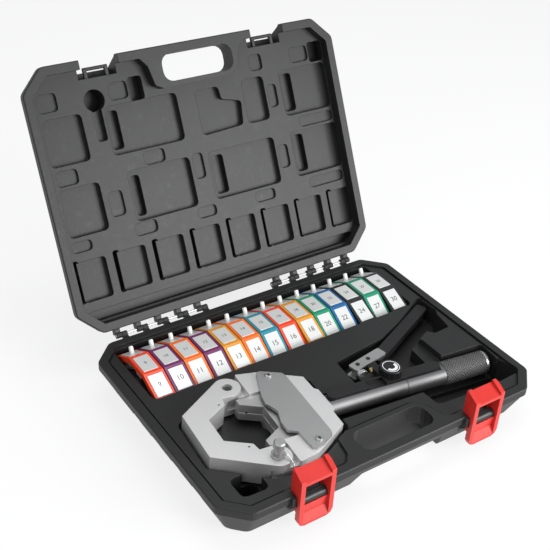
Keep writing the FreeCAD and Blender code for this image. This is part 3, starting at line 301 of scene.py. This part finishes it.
black_metal = black_metal_finish("black_metal", (0.010, 0.010, 0.0105), 0.40)
knob_plastic = black_metal_finish("knob_plastic", (0.012, 0.012, 0.013), 0.30)
seal_rubber = grained_plastic("seal_rubber", (0.02, 0.02, 0.02), 0.5, 0.7)
print("dark finishes ready")

# %% [markdown]
# ## Dressing the solids
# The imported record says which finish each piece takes, by the name of its slot. The slot's name is also the
# finish's name here, so one loop dresses every solid.
# %% Put a finish on every piece
finishes = {m.name: m for m in (case_plastic, bar_plastic, grip_plastic, latch_plastic, head_steel, cover_steel,
                                ram_steel, tube_steel, pin_steel, jaw_steel, brass, black_metal, knob_plastic,
                                seal_rubber)}
finishes.update(carriers)
for part in frame["record"]["subparts"]:
    solid = nodes[part["node"]]
    solid.data.materials.append(finishes[part["material_slot"]])

# %% [markdown]
# ## The tool's own frame
# The crimper lies slanted in its recess: turned a little about the vertical, and pitched down towards its handle.
# What is added to it is laid out along its own three directions, in millimetres from the gate's hinge line, and
# then carried into place. Every added piece is a plain mesh whose object stays at the origin.
# %% Frame of the tool, and a way to add a piece
tool_yaw = math.radians(-5.45)
tool_pitch = math.radians(2.3)
tool_origin = Vector((-0.1413, -0.05835, 0.0685))
along = Vector((math.cos(tool_pitch) * math.cos(tool_yaw), math.cos(tool_pitch) * math.sin(tool_yaw),
                -math.sin(tool_pitch)))
across = Vector((-math.sin(tool_yaw), math.cos(tool_yaw), 0.0))
normal = along.cross(across)
MM = 0.001


def frame_matrix(origin, x, y, z):
    """Millimetres along three directions, from an origin in metres."""
    return Matrix.Translation(origin) @ (Matrix((x, y, z)).transposed() * MM).to_4x4()


tool = frame_matrix(tool_origin, along, across, normal)


def add_piece(name, mesh, body, slot, *stands_for):
    piece = bpy.data.objects.new(name, mesh)
    scene.collection.objects.link(piece)
    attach(piece, body)
    if stands_for:
        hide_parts(*stands_for)
    return piece


def flat_mesh(name, loops, material, matrix, height=0.12):
    """Thin closed plates from outlines in millimetres: an outer ring of points with an inner one, or with none."""
    points, faces = [], []
    for outer, inner in loops:
        n = len(outer)
        start = len(points)
        closed = len(inner) == n
        for z in (0.0, height):
            points += [(x, y, z) for x, y in outer] + [(x, y, z) for x, y in inner]
        layer = n + len(inner)
        for i in range(n if closed else 0):
            j = (i + 1) % n
            low = [start + i, start + j, start + n + j, start + n + i]
            faces.append(list(reversed(low)))
            faces.append([k + layer for k in low])
            faces.append([start + i, start + j, start + layer + j, start + layer + i])
            faces.append([start + n + j, start + n + i, start + layer + n + i, start + layer + n + j])
        if not closed:
            faces.append([start + n - 1 - i for i in range(n)])
            faces.append([start + layer + i for i in range(n)])
            for i in range(n):
                j = (i + 1) % n
                faces.append([start + i, start + j, start + layer + j, start + layer + i])
    mesh = bpy.data.meshes.new(name)
    mesh.from_pydata([matrix @ Vector(p) for p in points], [], faces)
    mesh.materials.append(material)
    return mesh


def circle(radius, count=48, centre=(0.0, 0.0)):
    turns = [math.radians(360.0 * i / count) for i in range(count)]
    return [(centre[0] + radius * math.cos(t), centre[1] + radius * math.sin(t)) for t in turns]


def arc_band(inner, outer, start, sweep, count=24):
    turns = [math.radians(start + sweep * i / count) for i in range(count + 1)]
    far = [(outer * math.cos(t), outer * math.sin(t)) for t in turns]
    near = [(inner * math.cos(t), inner * math.sin(t)) for t in reversed(turns)]
    return far + near


print("tool lies along", [round(v, 3) for v in along])

# %% [markdown]
# ## Marks
# The release knob carries a white ring with a thick arc in it. Every die has its size cut into its facets as a
# plain number and a white peg; a bright strip along the lower edge of its upper facets is a painted highlight, where
# the edge catches the light. On the cover screws, dark hexagons are painted shade for their sockets. These are thin
# plates that lie on the solids: where a mark goes is read from the solid's own facet, so it lies flat on it. The last
# two cells add what is too fine for the solids: the tube's seam, a dark disc of painted shade on the sunk end of the
# hinge pin, the plunger's packing and a brass fitting beside it.
# %% The knob's ring and arc


def mark_finish(name, colour, rough=0.5):
    f = Finish(name)
    speck = f.noise(0.7, 3.0)
    worn = f.noise(2.5, 5.0)
    base = f.mix(worn * 0.35, colour, tuple(c * 0.6 + 0.05 for c in colour))
    return f.set(colour=base, rough=(speck * 0.2 + rough - 0.1).clipped(), normal=f.bump(speck, 0.01, 0.4))


white_mark = mark_finish("white_mark", (0.80, 0.80, 0.80))
# This pale colour is the pegs' own white, and a painted highlight on the strips along the dies' facet edges.
white_peg_and_painted_highlight = mark_finish("white_peg_and_painted_highlight", (0.86, 0.86, 0.84), 0.35)
# This dark colour is print for the numbers and the tube's seam, and painted shade for the screw sockets and the hinge
# pin's sunk end.
dark_mark_and_painted_shade = mark_finish("dark_mark_and_painted_shade", (0.022, 0.024, 0.026))

knob_u, knob_v = 216.0, 12.0
ring_outer, ring_inner = 11.9, 10.9
arc_inner, arc_outer, arc_start, arc_sweep = 5.4, 9.4, -152.0, 178.0
sunk = 0.04


def top_in_tool(node):
    """How high a solid reaches along the tool's third direction, in millimetres."""
    return max((tool.inverted() @ v.co).z for v in nodes[node].data.vertices)


knob_top = top_in_tool("release_knob")
knob_face = tool @ Matrix.Translation((knob_u, knob_v, knob_top - sunk))
loops = [(circle(ring_outer), circle(ring_inner)), (arc_band(arc_inner, arc_outer, arc_start, arc_sweep), [])]
ring = flat_mesh("knob_marks", loops, white_mark, knob_face, 0.16)
add_piece("knob_marks", ring, "knob", "knob_plastic")
print("knob face at", round(knob_top, 2), "mm")

# %% Size numbers, pegs and painted edge highlights on the dies


def facets(mesh, least_up=0.5):
    """Upward facets of a mesh, largest first: area, centre and normal, with coplanar faces joined."""
    groups = {}
    for face in mesh.polygons:
        if face.normal.z < least_up:
            continue
        key = tuple(round(c, 2) for c in face.normal) + (round(face.normal.dot(face.center), 4),)
        area, centre, direction = groups.get(key, (0.0, Vector(), face.normal.copy()))
        groups[key] = (area + face.area, centre + face.center * face.area, direction)
    found = [(area, centre / area, direction) for area, centre, direction in groups.values()]
    return sorted(found, key=lambda row: -row[0])


def number_mesh(text, height_mm, matrix):
    """A plain number as a thin solid plate, in the program's own plain figures."""
    curve = bpy.data.curves.new("number", "FONT")
    curve.body = text
    curve.size = height_mm
    curve.align_x = "CENTER"
    curve.align_y = "CENTER"
    curve.extrude = 0.06
    curve.resolution_u = 3
    holder = bpy.data.objects.new("number", curve)
    scene.collection.objects.link(holder)
    solid = holder.evaluated_get(bpy.context.evaluated_depsgraph_get())
    mesh = bpy.data.meshes.new_from_object(solid)
    bpy.data.objects.remove(holder)
    bpy.data.curves.remove(curve)
    mesh.transform(matrix)
    return mesh


def joined_mesh(name, parts):
    """Several meshes as one, each keeping its finish. Every part is a mesh and its material."""
    points, faces, owners, finishes = [], [], [], []
    for part, material in parts:
        if material not in finishes:
            finishes.append(material)
        start = len(points)
        points += [tuple(v.co) for v in part.vertices]
        faces += [[start + i for i in face.vertices] for face in part.polygons]
        owners += [finishes.index(material)] * len(part.polygons)
    mesh = bpy.data.meshes.new(name)
    mesh.from_pydata(points, [], faces)
    for material in finishes:
        mesh.materials.append(material)
    mesh.polygons.foreach_set("material_index", owners)
    return mesh


def ground_edge(place):
    """A painted highlight: a bright strip along the lower edge of a facet, where the edge catches the light."""
    half = facet_width / 2.0 - 0.4
    low = -facet_length / 2.0 + 0.3
    high = low + highlight_width
    loop = [(-half, low), (half, low), (half, high), (-half, high)]
    return flat_mesh("edge", [(loop, [])], white_peg_and_painted_highlight, place, 0.08)


def turned_mesh(name, profile, material, place, count=28):
    """A closed round solid from radius and height pairs, along the third direction of its place."""
    points, faces = [], []
    for radius, height in profile:
        points += [(x, y, height) for x, y in circle(radius, count)]
    for ring in range(len(profile) - 1):
        for i in range(count):
            j = (i + 1) % count
            faces.append([ring * count + i, ring * count + j, (ring + 1) * count + j, (ring + 1) * count + i])
    faces.append(list(reversed(range(count))))
    faces.append([(len(profile) - 1) * count + i for i in range(count)])
    mesh = bpy.data.meshes.new(name)
    mesh.from_pydata([place @ Vector(p) for p in points], [], faces)
    mesh.materials.append(material)
    return mesh


die_sizes = [9, 10, 11, 12, 13, 14, 15, 16, 18, 20, 22, 24, 27, 30]
front_figures, top_figures = 10.5, 7.5
raised = 0.04
facet_width, facet_length, highlight_width = 21.3, 33.0, 0.9
peg_profile = [(3.1, 0.0), (3.1, 9.0), (2.7, 9.7), (1.6, 10.0)]
for number, size in enumerate(die_sizes, 1):
    parts = []
    for _, middle, direction in facets(nodes["die_jaws_%02d" % number].data)[:3]:
        side = Vector((1.0, 0.0, 0.0))
        rise = direction.cross(side).normalized()
        place = frame_matrix(middle + direction * raised * MM, side, rise, direction)
        if direction.y < -0.2:
            parts.append((number_mesh(str(size), front_figures, place), dark_mark_and_painted_shade))
        elif direction.y < 0.2:
            parts.append((number_mesh(str(size), top_figures, place), dark_mark_and_painted_shade))
            # The bright strip on the facet's lower edge is a painted highlight.
            parts.append((ground_edge(place), white_peg_and_painted_highlight))
        else:
            # The strip is a painted highlight; the peg is white.
            parts.append((ground_edge(place), white_peg_and_painted_highlight))
            peg_foot = place @ Matrix.Translation((0.0, 0.0, -0.2))
            parts.append((turned_mesh("peg", peg_profile, white_peg_and_painted_highlight, peg_foot), white_peg_and_painted_highlight))
    add_piece("die_marks_%02d" % number, joined_mesh("die_marks", parts), "die_%02d" % number, "jaw_steel")
print("numbers on", len(die_sizes), "dies")

# %% Painted shade for the sockets of the cover screws
screw_u, screw_v, socket_radius = 58.7, 66.4, 2.3
screw_top = top_in_tool("cover_screws")
# The dark hexagons on the screw heads are painted shade for their sockets.
loops = [(circle(socket_radius, 6, (screw_u, side * screw_v)), []) for side in (-1.0, 1.0)]
socket_shade_plates = flat_mesh("screw_sockets", loops, dark_mark_and_painted_shade, tool @ Matrix.Translation((0, 0, screw_top - 0.05)))
add_piece("screw_sockets", socket_shade_plates, "crimper", "cover_steel")
print("screw heads end at", round(screw_top, 2), "mm")

# %% Seam of the tube, painted shade on the sunk end of the hinge pin
seam_u, seam_width, tube_radius, tube_w = 231.0, 1.6, 15.0, -15.0
seam_place = frame_matrix(tool @ Vector((seam_u, 0.0, tube_w)), across, normal, along)
seam_rings = [(circle(tube_radius + 0.06, 64), circle(tube_radius - 1.0, 64))]
add_piece("tube_seam", flat_mesh("tube_seam", seam_rings, dark_mark_and_painted_shade, seam_place, seam_width), "crimper", "tube_steel")
ear_half = 69.1
pin_high = top_in_tool("gate_hinge_pin")
pin_place = tool @ Matrix.Translation((0.0, ear_half, pin_high))
pin_shade_profile = [(6.7, 0.0), (6.7, 0.3), (5.6, 0.9)]
# The dark disc on the pin's end is painted shade for its sunk end.
add_piece("pin_end", turned_mesh("pin_end", pin_shade_profile, dark_mark_and_painted_shade, pin_place), "crimper", "pin_steel")
print("hinge pin ends at", round(pin_high, 2), "mm")

# %% Plunger packing and a small fitting beside it
plunger_u, gland_v, plunger_w = 187.5, 30.0, -10.2
stack_place = frame_matrix(tool @ Vector((plunger_u, gland_v, plunger_w)), normal, along, across)
stack = [(9.2, 0.0), (9.2, 2.2), (7.4, 2.4), (7.4, 3.2), (8.8, 3.4), (8.8, 5.6), (6.4, 5.8), (6.4, 6.6), (7.2, 6.8),
         (7.2, 8.6), (5.6, 8.8)]
add_piece("plunger_packing", turned_mesh("plunger_packing", stack, chrome, stack_place), "crimper", "brass",
          "plunger_gland")
fitting_foot = tool @ Vector((plunger_u + 15.0, gland_v - 1.0, plunger_w + 4.0))
fitting_place = frame_matrix(fitting_foot, normal, along, across)
fitting = [(4.6, 0.0), (4.6, 3.0), (3.2, 3.2), (3.2, 5.0), (4.0, 5.2), (4.0, 7.4), (2.4, 8.6)]
add_piece("bleed_fitting", turned_mesh("bleed_fitting", fitting, brass, fitting_place, 6), "crimper", "brass")
print("packing and fitting added")

# %% [markdown]
# ## Backing of the case walls
# Some pockets reach so far out that their ends meet the sloped wall, or the wall's scallops. There the wall is
# backed by thin strips that follow its inner side: in the base behind the lever's pocket and the finger pocket, in
# the lid behind the first slot of the die row and at both ends of the trough. Heights are counted from the rim,
# and a wall's inset is how far it stands in from the case's outline at that height.
# %% Strips that back the walls
case_half_width, case_half_depth, case_corner = 250.0, 183.25, 31.6
base_rim_z, lid_rim_z, band_height, band_inset = 58.0, 58.4, 13.0, 2.5
wall_slope = 17.5 / 39.0
notch_depth = 4.0
corner_cut = 4.6
corner_shift, corner_shrink, slant_share = 0.4142, 0.5858, 0.7071
hinge_line, lid_turn = Vector((0.0, 192.15, 57.1)), math.radians(-116.05)


def wall_inset(down):
    return band_inset + wall_slope * (down - band_height)


def corner_wall(inset):
    """Where the slanted corner wall starts on the side wall, and how far it runs each way."""
    start = (case_half_width - inset, case_half_depth - case_corner - corner_shift * inset)
    return start, case_corner - corner_shrink * inset


def notch_path(near, far):
    """Along the bottom of a side wall's scallop, between two distances behind the middle."""
    return lambda inset: [(case_half_width - inset - notch_depth, y) for y in (near, far)]


def corner_path(before, share):
    """Along a side wall, across its rounded corner and along a share of the slanted corner wall."""
    def path(inset):
        (x, y), run = corner_wall(inset)
        slant = slant_share * corner_cut
        return [(x, y - before), (x, y - corner_cut), (x - slant, y + slant), (x - share * run, y + share * run)]
    return path


def slant_path(start, end):
    """Along the slanted corner wall, between two shares of its length."""
    def path(inset):
        (x, y), run = corner_wall(inset)
        return [(x - run * share, y + run * share) for share in (start, end)]
    return path


def wall_strip(path, low, high, mirror, place, thick=2.0, gap=0.06):
    """A closed strip behind a wall, between two heights under the rim."""
    points, faces = [], []
    for down, depth in ((low, gap), (high, gap), (high, gap + thick), (low, gap + thick)):
        outline = path(wall_inset(down) + depth)
        points += [place @ Vector((mirror[0] * x, mirror[1] * y, down)) for x, y in outline]
    count = len(outline)
    for side in range(4):
        after = (side + 1) % 4
        for i in range(count - 1):
            faces.append([side * count + i, side * count + i + 1, after * count + i + 1, after * count + i])
    faces.append([side * count for side in range(4)])
    faces.append([side * count + count - 1 for side in reversed(range(4))])
    mesh = bpy.data.meshes.new("strip")
    mesh.from_pydata([point * MM for point in points], [], faces)
    mesh.materials.append(case_plastic)
    return mesh, case_plastic


base_place = Matrix.Translation((0.0, 0.0, base_rim_z)) @ Matrix.Scale(-1.0, 4, (0.0, 0.0, 1.0))
opened = Matrix.Translation(hinge_line) @ Matrix.Rotation(lid_turn, 4, "X") @ Matrix.Translation(-hinge_line)
lid_place = opened @ Matrix.Translation((0.0, 0.0, lid_rim_z))
base_strips = [wall_strip(notch_path(19.0, 41.0), 30.0, 34.5, (1, 1), base_place, 0.8),
               wall_strip(corner_path(42.0, 0.6), 32.0, 46.5, (1, -1), base_place, 1.5)]
lid_strips = [wall_strip(notch_path(76.0, 92.0), 29.0, 36.8, (-1, 1), lid_place),
              wall_strip(slant_path(0.15, 0.85), 16.0, 26.6, (1, 1), lid_place),
              wall_strip(slant_path(0.15, 0.85), 16.0, 26.6, (-1, 1), lid_place)]
add_piece("base_wall_backing", joined_mesh("base_wall_backing", base_strips), "case", "case_plastic")
add_piece("lid_wall_backing", joined_mesh("lid_wall_backing", lid_strips), "lid", "case_plastic")
print("strips:", len(base_strips), "in the base,", len(lid_strips), "in the lid")

# %% [markdown]
# ## What repeats: the knurl of the grip and the bead chain
# Both are grown by Geometry Nodes, then turned into plain meshes. The knurl is a grid of points wrapped round the
# grip's axis, every other row shifted by half a step, with a small four-sided pyramid on each. The chain is beads
# set at even steps along a curve, with a thin wire through them.
# %% A small builder for node groups


class Grower:
    """A geometry node group with named inputs, and one way to add a node."""

    def __init__(self, name, inputs):
        self.group = bpy.data.node_groups.new(name, "GeometryNodeTree")
        self.group.interface.new_socket(name="Geometry", in_out="OUTPUT", socket_type="NodeSocketGeometry")
        self.values = {}
        for label, kind, value in inputs:
            socket = self.group.interface.new_socket(name=label, in_out="INPUT", socket_type="NodeSocket" + kind)
            self.values[socket.identifier] = value
        self.entry = self.group.nodes.new("NodeGroupInput")
        self.exit = self.group.nodes.new("NodeGroupOutput")

    def given(self, label):
        return self.entry.outputs[label]

    def node(self, kind, settings=None, inputs=None, output=0):
        node = self.group.nodes.new(kind)
        for key, value in (settings or {}).items():
            setattr(node, key, value)
        for key, value in (inputs or {}).items():
            if isinstance(value, bpy.types.NodeSocket):
                self.group.links.new(value, node.inputs[key])
            else:
                node.inputs[key].default_value = value
        return node.outputs[output]

    def math(self, kind, first, second=0.0):
        return self.node("ShaderNodeMath", {"operation": kind}, {0: first, 1: second})

    def mesh(self, name, geometry, material):
        """Ends the group, runs it on an empty object and returns what it makes as a plain mesh."""
        real = self.node("GeometryNodeRealizeInstances", {}, {0: geometry})
        dressed = self.node("GeometryNodeSetMaterial", {}, {"Geometry": real, "Material": material})
        self.group.links.new(dressed, self.exit.inputs[0])
        holder = bpy.data.objects.new(name, bpy.data.meshes.new(name))
        scene.collection.objects.link(holder)
        modifier = holder.modifiers.new("grow", "NODES")
        modifier.node_group = self.group
        for identifier, value in self.values.items():
            modifier[identifier] = value
        grown = holder.evaluated_get(bpy.context.evaluated_depsgraph_get())
        made = bpy.data.meshes.new_from_object(grown)
        bpy.data.objects.remove(holder)
        bpy.data.node_groups.remove(self.group)
        made.name = name
        return made


# %% Knurled grip
grip_start, grip_end, grip_radius = 296.0, 370.0, 17.0
tooth_root, end_margin = 1.4, 3.0
g = Grower("knurl", [("Radius", "Float", grip_radius - tooth_root),
                     ("Length", "Float", grip_end - grip_start - end_margin),
                     ("Rows", "Int", 34), ("Around", "Int", 24), ("Height", "Float", 1.5)])
full_turn = g.math("MULTIPLY", g.math("SUBTRACT", g.given("Around"), 1.0), 2.0 * math.pi)
turn = g.math("DIVIDE", full_turn, g.given("Around"))
grid = g.node("GeometryNodeMeshGrid", {}, {"Size X": g.given("Length"), "Size Y": turn,
                                           "Vertices X": g.given("Rows"), "Vertices Y": g.given("Around")})
where = g.node("GeometryNodeInputPosition")
split = g.group.nodes.new("ShaderNodeSeparateXYZ")
g.group.links.new(where, split.inputs[0])
index = g.node("GeometryNodeInputIndex")
row = g.math("FLOOR", g.math("DIVIDE", index, g.given("Around")))
odd = g.math("MODULO", row, 2.0)
half_step = g.math("DIVIDE", math.pi, g.given("Around"))
angle = g.math("ADD", split.outputs[1], g.math("MULTIPLY", odd, half_step))
outward = g.node("ShaderNodeCombineXYZ", {}, {1: g.math("COSINE", angle), 2: g.math("SINE", angle)})
wrapped = g.node("ShaderNodeCombineXYZ", {}, {
    0: split.outputs[0], 1: g.math("MULTIPLY", g.math("COSINE", angle), g.given("Radius")),
    2: g.math("MULTIPLY", g.math("SINE", angle), g.given("Radius"))})
kept = g.node("GeometryNodeStoreNamedAttribute", {"data_type": "FLOAT_VECTOR", "domain": "POINT"},
              {"Geometry": grid, "Name": "outward", "Value": outward})
round_grid = g.node("GeometryNodeSetPosition", {}, {"Geometry": kept, "Position": wrapped})
points = g.node("GeometryNodeMeshToPoints", {"mode": "VERTICES"}, {0: round_grid})
direction = g.node("GeometryNodeInputNamedAttribute", {"data_type": "FLOAT_VECTOR"}, {"Name": "outward"})
tilt = g.node("FunctionNodeAlignEulerToVector", {"axis": "Z"}, {"Vector": direction})
tooth = g.node("GeometryNodeMeshCone", {"fill_type": "NONE"},
               {"Vertices": 4, "Radius Top": 0.0, "Radius Bottom": 2.1, "Depth": g.given("Height")})
teeth = g.node("GeometryNodeInstanceOnPoints", {}, {"Points": points, "Instance": tooth, "Rotation": tilt})
core = g.node("GeometryNodeMeshCylinder", {}, {"Vertices": 48, "Radius": g.given("Radius"),
                                               "Depth": g.math("ADD", g.given("Length"), end_margin)})
lying = g.node("GeometryNodeTransform", {}, {"Geometry": core, "Rotation": (0.0, math.pi / 2.0, 0.0)})
both = g.group.nodes.new("GeometryNodeJoinGeometry")
g.group.links.new(teeth, both.inputs[0])
g.group.links.new(lying, both.inputs[0])
knurl = g.mesh("knurled_grip", both.outputs[0], grip_plastic)
knurl.transform(tool @ Matrix.Translation(((grip_start + grip_end) / 2.0, 0.0, tube_w)))
print("knurl faces:", len(knurl.polygons))
add_piece("knurled_grip", knurl, "crimper", "grip_plastic", "handle_grip")

# %% Bead chain of the lock pin
bead_radius, wire_radius, bead_count = 1.55, 0.45, 9
chain_start = Vector((7.5, -ear_half - 8.0, 5.0))
chain_run, chain_out, chain_drop, chain_sag = 6.0, 12.0, 3.0, 12.0
chain_points = 9
path = []
for i in range(chain_points):
    share = i / (chain_points - 1.0)
    out = -chain_out * math.sin(share * math.pi / 2.0)
    path.append(chain_start + Vector((chain_run * share, out, -chain_drop * share - chain_sag * share ** 2)))
c = Grower("bead_chain", [("Beads", "Int", bead_count), ("Bead radius", "Float", bead_radius),
                          ("Wire radius", "Float", wire_radius)])
line = bpy.data.curves.new("chain_line", "CURVE")
line.dimensions = "3D"
spline = line.splines.new("POLY")
spline.points.add(len(path) - 1)
for point, place in zip(spline.points, path):
    point.co = (*place, 1.0)
line_holder = bpy.data.objects.new("chain_line", line)
scene.collection.objects.link(line_holder)
route = c.node("GeometryNodeObjectInfo", {"transform_space": "ORIGINAL"}, {"Object": line_holder}, "Geometry")
even = c.node("GeometryNodeResampleCurve", {}, {"Curve": route, "Count": c.given("Beads")})
bead = c.node("GeometryNodeMeshUVSphere", {}, {"Segments": 16, "Rings": 10, "Radius": c.given("Bead radius")})
beads = c.node("GeometryNodeInstanceOnPoints", {}, {"Points": even, "Instance": bead})
section = c.node("GeometryNodeCurvePrimitiveCircle", {}, {"Resolution": 8, "Radius": c.given("Wire radius")})
wire = c.node("GeometryNodeCurveToMesh", {}, {"Curve": route, "Profile Curve": section, "Fill Caps": True})
both = c.group.nodes.new("GeometryNodeJoinGeometry")
c.group.links.new(beads, both.inputs[0])
c.group.links.new(wire, both.inputs[0])
chain = c.mesh("bead_chain", both.outputs[0], chrome)
bpy.data.objects.remove(line_holder)
bpy.data.curves.remove(line)
chain.transform(tool)
for face in chain.polygons:
    face.use_smooth = True
add_piece("bead_chain", chain, "lock", "pin_steel", "pin_chain")
print("chain faces:", len(chain.polygons))

# %% [markdown]
# ## Floor, daylight and lamps
# A product photograph has a white sweep and large soft lamps. The floor is pale and keeps the shadow. Only rays
# from the camera and mirror-like reflections see it brightened to white, so the object isn't lit by it.
# %% Floor and lamps
whitened = 0.80


def white_sweep():
    f = Finish("sweep_white")
    path = f.tree.nodes.new("ShaderNodeLightPath")
    seen = Sum(f.tree, path.outputs["Is Camera Ray"]) + Sum(f.tree, path.outputs["Is Glossy Ray"])
    glow = f.tree.nodes.new("ShaderNodeEmission")
    glow.inputs["Color"].default_value = (1, 1, 1, 1)
    plain = f.set(colour=(0.86, 0.86, 0.86), rough=0.8, specular=0.1)
    mixer = f.tree.nodes.new("ShaderNodeMixShader")
    f.feed(mixer.inputs[0], seen.clipped() * whitened)
    f.tree.links.new(f.shader.outputs[0], mixer.inputs[1])
    f.tree.links.new(glow.outputs[0], mixer.inputs[2])
    f.tree.links.new(mixer.outputs[0], f.tree.nodes["Material Output"].inputs["Surface"])
    return plain


floor_mesh = bpy.data.meshes.new("floor")
reach = 6.0
floor_mesh.from_pydata([(-reach, -reach, 0), (reach, -reach, 0), (reach, reach, 0), (-reach, reach, 0)], [],
                       [(0, 1, 2, 3)])
floor = bpy.data.objects.new("floor", floor_mesh)
floor_mesh.materials.append(white_sweep())
scene.collection.objects.link(floor)


def soft_lamp(name, place, size, watts, target=(0.0, 0.05, 0.08)):
    data = bpy.data.lights.new(name, "AREA")
    data.shape = "RECTANGLE"
    data.size = size
    data.size_y = size * 0.7
    data.energy = watts
    lamp = bpy.data.objects.new(name, data)
    lamp.location = place
    aim = Vector(target) - Vector(place)
    lamp.rotation_euler = aim.to_track_quat("-Z", "Y").to_euler()
    scene.collection.objects.link(lamp)
    return lamp


soft_lamp("lamp_top", (0.1, 0.2, 1.8), 1.3, 12.0)
soft_lamp("lamp_left", (-1.6, -0.6, 1.0), 0.9, 5.0)
soft_lamp("lamp_front", (1.0, -1.8, 0.72), 1.5, 62.0, target=(0.0, 0.25, 0.2))

world = bpy.data.worlds.new("daylight")
scene.world = world
world.use_nodes = True
sky = world.node_tree.nodes["Background"]
sky.inputs["Color"].default_value = (0.9, 0.92, 0.95, 1.0)
sky.inputs["Strength"].default_value = 0.55
ray = world.node_tree.nodes.new("ShaderNodeLightPath")
white = world.node_tree.nodes.new("ShaderNodeBackground")
white.inputs["Color"].default_value = (1, 1, 1, 1)
white.inputs["Strength"].default_value = 1.0
choose = world.node_tree.nodes.new("ShaderNodeMixShader")
world.node_tree.links.new(ray.outputs["Is Camera Ray"], choose.inputs[0])
world.node_tree.links.new(sky.outputs[0], choose.inputs[1])
world.node_tree.links.new(white.outputs[0], choose.inputs[2])
world.node_tree.links.new(choose.outputs[0], world.node_tree.nodes["World Output"].inputs["Surface"])
scene.view_settings.view_transform = "Standard"
print("lamps ready")
